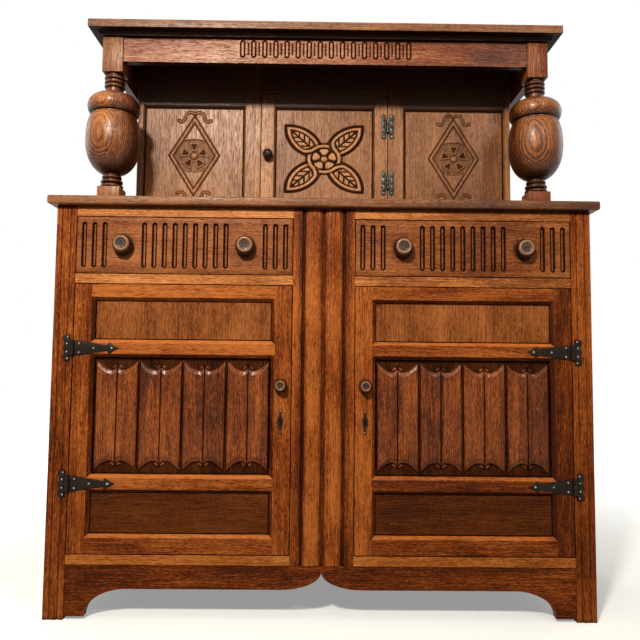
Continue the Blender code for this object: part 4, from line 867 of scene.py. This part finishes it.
def upper_frames():
    """Face frame of the upper cupboard and the frame of its door."""
    # The head rails under the canopy, the case's and the door's, are deeper: painted shadow.
    bevel, surfaces, shadowed_head_board = 0.004, [CANOPY_SHADOW_OAK["Z"], CANOPY_SHADOW_OAK["X"]], (0.83, -0.34)
    case_boards = [(0.21, 0.10), (0.67, 0.10), (0.35, 0.0), shadowed_head_board]
    door_boards = [(0.47, 0.27), (0.91, 0.10), (0.13, 0.0), (0.58, -0.22)]
    low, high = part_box("upper_face_frame")
    door_low, door_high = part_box("upper_door_frame")
    door_half = door_high.x + CLEARANCE

    def put(u, v, d):
        return u, UPPER_FRONT + d, v

    shell = Shell()
    for name, side in SIDES.items():
        edges = sorted((side * door_half, side * high.x))
        panel = opening(f"carved_panel_{name}")
        framed(shell, (*edges, low.z, high.z), [panel], bevel, high.y - low.y, put, case_boards)
    shell.box((-door_half, low.y, door_high.z + CLEARANCE), (door_half, high.y, high.z), 1, shadowed_head_board)
    shell.build("upper_framing", surfaces, "case", "upper_face_frame")
    shell = Shell()
    framed(shell, (door_low.x, door_high.x, door_low.z, door_high.z), [opening("upper_door_panel")], bevel,
           door_high.y - door_low.y, put, door_boards)
    shell.build("upper_door_framing", surfaces, "upper_door", "upper_door_frame")


def end_frames():
    """Panelled ends with their back posts."""
    rail, stile, bevel, thickness, setback, post_deep = 0.058, 0.030, 0.008, 0.022, 0.0015, 0.044
    panel_front, panel_back, tongue = 0.010, 0.020, 0.002
    boards = [(0.19, 0.0), (0.73, 0.0), (0.41, 0.0), (0.89, 0.05), (0.27, 0.05)]
    start, post = FRONT + post_deep + GAP, BACK - post_deep
    outer = POST_OUT - setback
    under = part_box("lower_back")[0].z
    middle = (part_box("drawer_deck")[0].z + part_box("drawer_left_front")[0].z - CLEARANCE) / 2
    sides = (start + stile, post - stile)
    openings = [(*sides, under + rail, middle - rail / 2), (*sides, middle + rail / 2, TOP_UNDER - rail)]
    for name, side in SIDES.items():
        node = f"end_frame_{name}"
        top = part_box(node)[1].z
        shell = Shell()
        framed(shell, (start, post, under, top), openings, bevel, thickness,
               lambda u, v, d: (side * (outer - d), u, v), boards)
        x0, x1 = sorted((side * (outer - panel_front), side * (outer - panel_back)))
        for u0, u1, v0, v1 in openings:
            shell.box((x0, u0 - tongue, v0 - tongue), (x1, u1 + tongue, v1 + tongue), 0, (0.65, -0.05))
        x0, x1 = sorted((side * POST_IN, side * POST_OUT))
        shell.box((x0, post, 0.0), (x1, BACK, top), 0, (0.31, 0.0))
        shell.build(f"end_{name}_framing", [FRAME_OAK["Z"], FRAME_OAK["Y"]], "case", node)


# Plain boards of the case

def round_over(shape, back, radius):
    """Round the level edges of a board, leaving the back square."""
    bevelled(shape, [e for e in shape.edges if abs(e.verts[0].co.z - e.verts[1].co.z) < 1e-6
                     and not all(v.co.y > back - 1e-6 for v in e.verts)], radius, 5)


def muntin():
    """Broad upright worked with two reeds between grooves."""
    low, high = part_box("centre_muntin")
    depth, inner, outer, flat, slope = 0.006, 0.0025, 0.0435, 0.0485, 0.0006
    floor = FRONT + depth
    outline = [(low.x, FRONT), (-flat, FRONT), (-flat + slope, floor)]
    for start, end in ((-outer, -inner), (inner, outer)):
        outline += arc(((start + end) / 2, floor), ((end - start) / 2, -depth), 180, 0, 28)
    outline += [(flat - slope, floor), (flat, FRONT), (high.x, FRONT), (high.x, high.y), (low.x, high.y)]
    shape = bmesh.new()
    prism(shape, outline, "Z", low.z, high.z)
    made = shaped("reeded_muntin", shape, [FRAME_OAK["Z"]], "case", "centre_muntin")
    grooves = (-(outer + flat) / 2, 0.0, (outer + flat) / 2)

    # Deeper round the grooves: painted shade in them.
    def tone(point, normal):
        return 0.20 - 0.42 * max(math.exp(-((point.x - x) / 0.007) ** 2) for x in grooves)

    shaded(made, tone)


def main_board():
    """Main top with rounded front and side edges."""
    low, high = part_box("main_top")
    shape = bmesh.new()
    box(shape, low, high)
    round_over(shape, high.y, 0.0045)
    made = shaped("main_board", shape, [UPPER_OAK["X"]], "case", "main_top")
    # Deeper towards the right end: painted light falling off to the right.
    shaded(made, lambda point, normal: 0.04 - 0.28 * (point.x - low.x) / (high.x - low.x))


def canopy():
    """Top board of the canopy with the hollow moulding below it, in painted shade underneath."""
    thickness, overhang, drop, back_gap, inset = 0.019, 0.0265, 0.0088, 0.004, 0.0001
    low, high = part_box("cornice")
    under, end = high.z - thickness, high.y - back_gap
    face_x, face_y = high.x - overhang, low.y + overhang
    shape = bmesh.new()
    box(shape, (low.x, low.y, under), high)
    round_over(shape, high.y, 0.0018)
    hollow = arc((0.016, under - drop), (0.010, drop - inset), 180, 90, 12)
    section = [(GAP, under - inset), (GAP, under - drop), *hollow]
    loft(shape, [
        [(-face_x - out, end, z) for out, z in section],
        [(-face_x - out, face_y - out, z) for out, z in section],
        [(face_x + out, face_y - out, z) for out, z in section],
        [(face_x + out, end, z) for out, z in section],
    ])
    # Faces at and below the board's underside take the near-black oak: painted shade.
    for face in shape.faces:
        if face.calc_center_median().z < under + 0.0006:
            face.material_index = 1
    shaped("canopy_top", shape, [UPPER_OAK["X"], PAINTED_SHADE_OAK["X"]], "case", "cornice")


def shaped_apron():
    """Apron with bracket ends and a pointed rise in the middle."""
    low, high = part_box("apron")
    line, rise, span, end_span, toe = 0.0645, 0.038, 0.088, 0.090, high.x - 0.0425
    half = arc((span, line + rise), (span, rise), 180, 270, 28)
    half += arc((toe - end_span, low.z), (end_span, line - low.z), 90, 0, 28)
    half += [(high.x, low.z), (high.x, high.z)]
    outline = half + [(-x, z) for x, z in reversed(half[1:])]
    shape = bmesh.new()
    prism(shape, outline, "Y", low.y, high.y)
    eased(lifted(shaped("apron_board", shape, [FRAME_OAK["X"]], "case", "apron"), -0.14), 0.0012)


def column_profile(room):
    """Radius and height points of a column between its blocks: foot rings, cup, cover and neck rings."""
    neck, cup, cover, groove = 0.0188, 0.0612, 0.0590, 0.0480
    cup_bottom, widest, cup_top, bulb, cover_top = 0.0290, 0.1110, 0.1700, 0.1905, 0.2215
    foot_rings = ((0.0218, 0.0, 0.0040), (0.0200, 0.0098, 0.0048), (0.0186, 0.0214, 0.0036))
    neck_start, neck_pitch, neck_ring, into_block = 0.0132, 0.0100, 0.0046, 0.002
    cup_steps, fullness = 26, 2.2

    def ring(radius, height, size):
        return arc((radius, height + size), (size, size), -90, 90, 8)

    profile = [(neck, -into_block)]
    for radius, height, size in foot_rings:
        profile += ring(radius, height, size) + [(radius - 0.0012, height + 2 * size + 0.0006)]
    profile.pop()
    for i in range(1, cup_steps + 1):
        drop = 1.0 - (i / cup_steps) ** 1.7
        radius = cup * (1.0 - drop ** fullness) ** (1.0 / fullness)
        profile.append((max(radius, neck), widest - (widest - cup_bottom) * drop))
    profile += arc((groove, widest), (cup - groove, cup_top - widest - 0.0010), 5, 78, 14)
    profile += [(groove + 0.0028, cup_top - 0.0004), (groove + 0.0014, cup_top)]
    profile += [(groove - 0.0010, cup_top + 0.0008)]
    profile += arc((groove, bulb), (cover - groove, bulb - cup_top - 0.001), -86, 0, 10)
    profile += arc((neck + 0.001, bulb), (cover - neck - 0.001, cover_top - bulb), 6, 87, 16)
    profile += arc((neck + 0.0032, cover_top + 0.0070), (0.0030, 0.0066), 270, 180, 6)
    for i in range(3):
        profile += ring(neck, cover_top + neck_start + neck_pitch * i, neck_ring)
    return profile + [(neck, room + into_block)]


def columns():
    """Columns turned from the square, with mushroom covers over full cups."""
    base_half, base_height, block_half, block_height = 0.02525, 0.032, 0.0235, 0.0917
    slender = 0.029
    for name, side in SIDES.items():
        node = f"column_{name}"
        low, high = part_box(node)
        middle = middle_of(node)
        base_top, block_under = low.z + base_height, high.z - block_height
        shape = bmesh.new()
        for half, bottom, top in ((base_half, low.z, base_top), (block_half, block_under, high.z)):
            corners = [(middle.x + s * half, middle.y + s * half, z) for s, z in ((-1, bottom), (1, top))]
            block = box(shape, *corners, 1)
            bevelled(shape, {edge for corner in block for edge in corner.link_edges}, 0.0010)
        seat = Matrix.Translation((middle.x, middle.y, base_top))
        lathe(shape, column_profile(block_under - base_top), seat, steps=88)
        block_oak = UPPER_OAK if side < 0 else FRIEZE_OAK
        made = shaped(f"turned_{node}", shape, [TURNED_OAK["Z"], block_oak["Z"]], "case", node, sharp=50)
        # Painted light on the turned part: sides, backs and downward faces deeper as painted shade, a broad
        # painted highlight on faces turned to the front and a little up, and the neck rings deeper.
        sheen_and_wear = Vector((-0.10 + 0.20 * side, -0.93, 0.25))

        def tone(point, normal):
            if not base_top + 0.0001 < point.z < block_under - 0.0001:
                return 0.0
            depth = 0.78 * (1.0 - max(0.0, -normal.y)) ** 1.4 + 0.25 * max(0.0, -normal.z)
            if math.hypot(point.x - middle.x, point.y - middle.y) < slender:
                return -0.14 - depth
            return 0.05 + 0.05 * side + 0.26 * max(0.0, normal.dot(sheen_and_wear)) ** 10 - depth

        shaded(made, tone)


def plain_boards():
    """Packed boards that keep their own shape."""
    for surface, ease, *nodes in (
        (FRAME_OAK["Z"], EASE, "front_post_left", "front_post_right"),
        (RAIL_OAK["X"], EASE, "top_rail", "drawer_deck"),
        (SILL_OAK["X"], EASE, "bottom_rail"),
        (UPPER_OAK["Y"], EASE, "frieze_left", "frieze_right"),
        (PANEL_OAK["Z"], EASE, "upper_end_left", "upper_end_right"),
        (INNER_OAK["X"], 0.0, "floor_board", "lower_back", "upper_back"),
        (INNER_OAK["Z"], 0.0, "partition"),
        (INNER_OAK["Y"], EASE, "drawer_left_box", "drawer_right_box"),
    ):
        for node in nodes:
            dress(node, surface, ease)


# Turned knobs and iron work

def seat_of(node):
    """Where a knob meets the wood behind it, with its axis towards the front."""
    middle = middle_of(node)
    return Matrix.Translation((middle.x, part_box(node)[1].y, middle.z)) @ TOWARDS_FRONT


def knobs():
    """Turned bun knobs with a dished face, a rim paler from wear and a painted highlight, and bodies deeper
    as painted shade.
    """
    rim_wear_and_highlight, dish_tone, painted_side_shade = 0.50, -0.10, -0.80
    for kind, radius, length, *titles in (
        ("drawer", 0.0218, 0.0277, "knob_inner", "knob_outer"),
        ("door", 0.0139, 0.0240, "knob"),
    ):
        rim, dish = radius * 0.74, radius * 0.52
        profile = [(0.0004, 0.0), (radius * 0.62, 0.0)]
        profile += arc((radius * 0.62, length * 0.48), (radius * 0.38, length * 0.42), -70, 0, 9)
        profile += arc((rim - radius * 0.06, length * 0.48), (radius * 0.28, length * 0.44), 6, 66, 9)
        profile += arc((rim - radius * 0.10, length * 0.93), (radius * 0.115, length * 0.07), 40, 150, 8)
        profile += arc((dish * 0.7, length * 0.965), (dish * 0.3, -length * 0.10), 6, 90, 6)
        profile += [(0.0004, length * 0.855)]
        for name in SIDES:
            for node in [f"{kind}_{name}_{title}" for title in titles]:
                seat = seat_of(node)
                shape = bmesh.new()
                lathe(shape, profile, seat, steps=56)
                made = shaped(f"turned_{node}", shape, [KNOB_OAK["Y"]], f"{kind}_{name}", node,
                              sharp=60)
                middle = seat.to_translation()

                # Bodies deeper as painted shade, rims paler from wear and a painted highlight, dishes a
                # little deeper.
                def tone(point, normal):
                    if point.y > middle.y - length * 0.86:
                        return painted_side_shade
                    away = math.hypot(point.x - middle.x, point.z - middle.z)
                    return rim_wear_and_highlight if away > dish * 0.98 else dish_tone

                shaded(made, tone)


def nail(shape, x, face, z, radius, surface=1):
    """Domed nail head on a face."""
    height = radius * 0.62
    dome = [(radius, 0.0)] + arc((0.0, 0.0), (radius, height), 12, 82, 5)
    lathe(shape, dome, Matrix.Translation((x, face, z)) @ TOWARDS_FRONT, 14, surface)


def sheet(shape, points, wood):
    """Flat iron cut to an outline of (x, z) points, just before its wood, with its front edges eased."""
    front = wood - GAP - SHEET
    corners = prism(shape, points, "Y", front, wood - GAP)
    faces = {face for corner in corners for face in corner.link_faces}
    bmesh.ops.recalc_face_normals(shape, faces=list(faces))
    edges = {edge for corner in corners for edge in corner.link_edges}
    bevelled(shape, {edge for edge in edges if all(v.co.y < front + 1e-6 for v in edge.verts)}, 0.0006)


def knuckle(shape, x, y, bottom, top):
    """Round length of a hinge barrel, with eased ends."""
    radius, ease = 0.0037, 0.0005
    profile = [(radius - ease, bottom), (radius, bottom + ease), (radius, top - ease), (radius - ease, top)]
    lathe(shape, profile, Matrix.Translation((x, y, 0.0)), steps=22)


def mirrored(half):
    """Outline from its upper half."""
    return half + [(u, -v) for u, v in reversed(half) if abs(v) > 1e-9]


def hinge_leaf(name, node, body, surface, half, nails, seat, third, end=None):
    """Iron leaf of a hinge, from the upper half of its outline as (distance from the axis, height).

    seat is the axis in x, the middle height, the side that the leaf lies on and the face of the wood.
    The leaf holds the middle third of the barrel or, where an end is given, both parts from there on.
    """
    x, z, side, wood = seat
    if end:
        outline = mirrored([(0.0, third + GAP), *half])
        outline += [(HINGE_NECK, -third - GAP), (HINGE_NECK, third + GAP)]
        knuckles = [(third + GAP, end), (-end, -third - GAP)]
    else:
        outline = mirrored([(0.0, third - GAP), (HINGE_NECK, third - GAP), *half])
        knuckles = [(-third, third)]
    shape = bmesh.new()
    sheet(shape, [(x + side * u, z + v) for u, v in outline], wood)
    for bottom, top in knuckles:
        knuckle(shape, x, wood - HINGE_STANDOFF, z + bottom, z + top)
    for u, v, *look in nails:
        nail(shape, x + side * u, wood - GAP - SHEET, z + v, *look)
    shaped(name, shape, [surface, NAIL_IRON], body, node)


def strap_hinges():
    """Tapered straps with arrow tips on the lower doors, and lobed plates on the posts."""
    third, barrel_end = 0.0055, 0.0166
    strap = [(HINGE_NECK, 0.0155), (0.0060, 0.0164), (0.0085, 0.0160), (0.076, 0.0054), (0.0785, 0.0118),
             (0.0812, 0.0112), (0.0868, 0.0066), (0.0998, 0.0)]
    strap_nails = [(0.014, 0.0098, 0.0022), (0.014, -0.0098, 0.0022), (0.046, 0.0, 0.0023),
                   (0.0855, 0.0, 0.0027)]
    plate = [(0.0, 0.0165), (0.0048, 0.0165)]
    plate += arc((0.0048, 0.0232), (0.0020, 0.0067), -90, 60, 5)[1:]
    plate += arc((0.0106, 0.0262), (0.0048, 0.0028), 150, 30, 8)
    plate += arc((0.0182, 0.0200), (0.0026, 0.0070), 100, -20, 6)
    plate += arc((0.0206, 0.0090), (0.0030, 0.0070), 120, 180, 5)
    plate += [(0.0176, 0.0050), (0.0208, 0.0018)]
    plate_nails = [(u, v, 0.0021) for u, v in mirrored([(0.0106, 0.0235), (0.0122, 0.0090)])]
    for name, side in SIDES.items():
        x = side * (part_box("door_right_frame")[1].x + CLEARANCE / 2)
        for level in ("upper", "lower"):
            node = f"door_{name}_strap_{level}"
            z = middle_of(node).z
            hinge_leaf(f"strap_{name}_{level}", node, f"door_{name}", IRON, strap, strap_nails,
                       (x, z, -side, FRONT), third)
            node = f"hinge_plate_{name}_{level}"
            hinge_leaf(f"post_{node}", node, "case", IRON, plate, plate_nails, (x, z, side, FRONT), third,
                       barrel_end)


def upper_hinges():
    """Pointed leaves of the upper door's hinges, worked with dimples."""
    third, barrel_end, lug, width, tall, point = 0.005, 0.0151, 0.015, 0.0155, 0.0318, 0.0036
    centre = (HINGE_NECK + width) / 2
    rim = [(HINGE_NECK, tall - point), (centre, tall), (width, tall - point)]
    nails = [(centre, v, 0.0022) for v in (-0.0255, -0.0085, 0.0085, 0.0255)]
    nails += [(centre, v, 0.0040, 0) for v in (-0.017, 0.0, 0.017)]
    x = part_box("upper_door_frame")[1].x + CLEARANCE / 2
    for level in ("upper", "lower"):
        node = f"upper_door_leaf_{level}"
        z = middle_of(node).z
        hinge_leaf(f"h_{node}", node, "upper_door", WORN_IRON, rim, nails, (x, z, -1, UPPER_FRONT), third)
        node = f"upper_hinge_plate_{level}"
        hinge_leaf(f"h_{node}", node, "case", WORN_IRON, [(0.0, lug), (HINGE_NECK, lug), *rim], nails,
                   (x, z, 1, UPPER_FRONT), third, barrel_end)


def escutcheons():
    """Slender keyhole plates with lobed ends and pins."""
    lobe, pin, floor = 0.0225, 0.0017, 0.0004
    upper = arc((0.0, lobe), (0.0030, 0.0030), 90, -62, 9) + arc((0.0, 0.0158), (0.0022, 0.0030), 60, -60, 6)
    right = upper + arc((0.0, 0.0), (0.0061, 0.0118), 72, -72, 18) + [(u, -v) for u, v in reversed(upper)]
    outline = right + [(-u, v) for u, v in reversed(right[1:-1])]
    hole = arc((0.0, 0.0032), (0.0022, 0.0022), -50, 230, 14) + [(-0.00155, -0.0063), (0.00155, -0.0063)]
    for name in SIDES:
        node = f"door_{name}_escutcheon"
        low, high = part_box(node)
        x, _, z = middle_of(node)
        shape = bmesh.new()
        edges = []
        for loop in (outline, hole):
            verts = [shape.verts.new((x + u, high.y, z + v)) for u, v in loop]
            edges += [shape.edges.new((a, b)) for a, b in zip(verts, verts[1:] + verts[:1])]
        bmesh.ops.triangle_fill(shape, use_beauty=True, use_dissolve=False, edges=edges)
        pushed = bmesh.ops.extrude_face_region(shape, geom=list(shape.faces))
        moved = [item for item in pushed["geom"] if isinstance(item, bmesh.types.BMVert)]
        bmesh.ops.translate(shape, vec=(0.0, low.y - high.y, 0.0), verts=moved)
        for v in (lobe, -lobe):
            nail(shape, x, low.y, z + v, pin)
        # A near-black sheet just inside each keyhole paints the shade of the hole.
        prism(shape, [(x + 0.94 * u, z + 0.97 * v) for u, v in hole], "Y", high.y - floor, high.y, 2)
        surfaces = [IRON, NAIL_IRON, PAINTED_SHADE_OAK["Z"]]
        made = shaped(f"keyhole_plate_{name}", shape, surfaces, f"door_{name}", node)
        eased(made, 0.0003, angle=50)


def upper_knob():
    """Small dark ball knob on a short neck."""
    ball, ball_at = 0.0125, 0.0115
    profile = [(0.0072, 0.0), (0.0070, 0.0012), (0.0046, 0.0026), (0.0044, 0.0040)]
    profile += arc((0.0, ball_at), (ball, ball), -66, 86, 20)
    shape = bmesh.new()
    lathe(shape, profile, seat_of("upper_door_knob"), steps=40)
    shaped("ball_knob", shape, [BALL_IRON], "upper_door", "upper_door_knob", sharp=60)


# Studio

def seen_directly(tree):
    """1 for rays from the camera, mirrors and glass, 0 for light bounced softly."""
    direct, glossy, through = (shader_node(tree, "ShaderNodeLightPath", output=f"Is {kind} Ray")
                               for kind in ("Camera", "Glossy", "Transmission"))
    return direct.worked("MAXIMUM", glossy).worked("MAXIMUM", through)


def pale_floor():
    """Floor that looks white, fading into its surroundings, but sends little light up."""
    mesh = bpy.data.meshes.new("floor")
    mesh.from_pydata([(-7, -5, 0), (7, -5, 0), (7, 9, 0), (-7, 9, 0)], [], [(0, 1, 2, 3)])
    floor = linked("floor", mesh)
    surface, tree, _ = new_surface("pale_floor")
    tree.nodes.remove(tree.nodes["Principled BSDF"])
    grey, pale = (shader_node(tree, "ShaderNodeBsdfDiffuse", {"Color": (c, c, c)}) for c in (0.13, 0.88))
    spot = shader_node(tree, "ShaderNodeTexCoord", output="Object")
    away = shader_node(tree, "ShaderNodeVectorMath", {0: spot}, "Value", operation="LENGTH")
    reach = {"Value": away, "From Min": 0.5, "From Max": 2.6, "To Min": 0.30, "To Max": 1.0}
    far = shader_node(tree, "ShaderNodeMapRange", reach, interpolation_type="SMOOTHSTEP")
    glow = shader_node(tree, "ShaderNodeEmission", {"Color": (1.0, 1.0, 1.0), "Strength": far})
    white = shader_node(tree, "ShaderNodeAddShader", {0: pale, 1: glow})
    both = shader_node(tree, "ShaderNodeMixShader", {0: seen_directly(tree), 1: grey, 2: white})
    fill(tree.nodes["Material Output"].inputs["Surface"], both)
    mesh.materials.append(surface)


def surroundings():
    """World that looks white but gives only a little light."""
    ambient = 0.035
    world = bpy.data.worlds.new("surroundings")
    bpy.context.scene.world = world
    world.use_nodes = True
    sockets = world.node_tree.nodes["Background"].inputs
    fill(sockets["Color"], (1.0, 1.0, 1.0))
    fill(sockets["Strength"], seen_directly(world.node_tree) * (1.0 - ambient) + ambient)


def lamps():
    """Soft key light from the front left, and weaker lights for the other sides."""
    for name, at, target, size, power in (
        ("key", (-0.58, -2.10, 2.00), (-0.2, 0.0, 0.80), 0.22, 60.0),
        ("right", (1.05, -2.10, 2.00), (0.2, 0.0, 0.80), 0.20, 9.5),
        ("top", (0.0, -0.9, 3.3), (0.0, 0.0, 0.5), 1.60, 18.0),
        ("back", (-1.4, 2.8, 2.3), (0.0, 0.2, 0.8), 1.40, 34.0),
        ("end_left", (-2.7, 0.7, 1.7), (-0.6, 0.1, 0.6), 1.30, 12.0),
        ("end_right", (2.7, 0.7, 1.7), (0.6, 0.1, 0.6), 1.30, 12.0),
    ):
        data = bpy.data.lights.new(name, "AREA")
        data.size = size
        data.energy = power
        data.color = (1.0, 0.96, 0.83)
        lamp = linked(name, data)
        lamp.location = at
        lamp.rotation_euler = (Vector(target) - Vector(at)).to_track_quat("-Z", "Y").to_euler()


def camera():
    """Camera fitted to the photograph: its place, its turns and its focal length in pixels of the picture."""
    focal, picture, sensor = 635.266, 640, 36.0
    pan, tilt, roll = -0.0094, 0.0685, 0.0098
    data = bpy.data.cameras.new("camera")
    data.sensor_width = sensor
    data.lens = focal / picture * sensor
    made = linked("camera", data)
    at = Matrix.Translation((-0.0210, FRONT - 1.3970, 0.5494))
    level = Matrix.Rotation(math.pi / 2 + tilt, 4, "X")
    made.matrix_world = at @ Matrix.Rotation(pan, 4, "Z") @ level @ Matrix.Rotation(roll, 4, "Z")
    bpy.context.scene.camera = made
    bpy.context.scene.view_settings.view_transform = "Standard"


for make in (pale_floor, surroundings, lamps, camera, plain_boards, muntin, main_board, canopy, shaped_apron,
             columns, door_frames, upper_frames, end_frames, linenfolds, drawer_fronts, frieze, upper_panels,
             knobs, strap_hinges, upper_hinges, escutcheons, upper_knob):
    make()
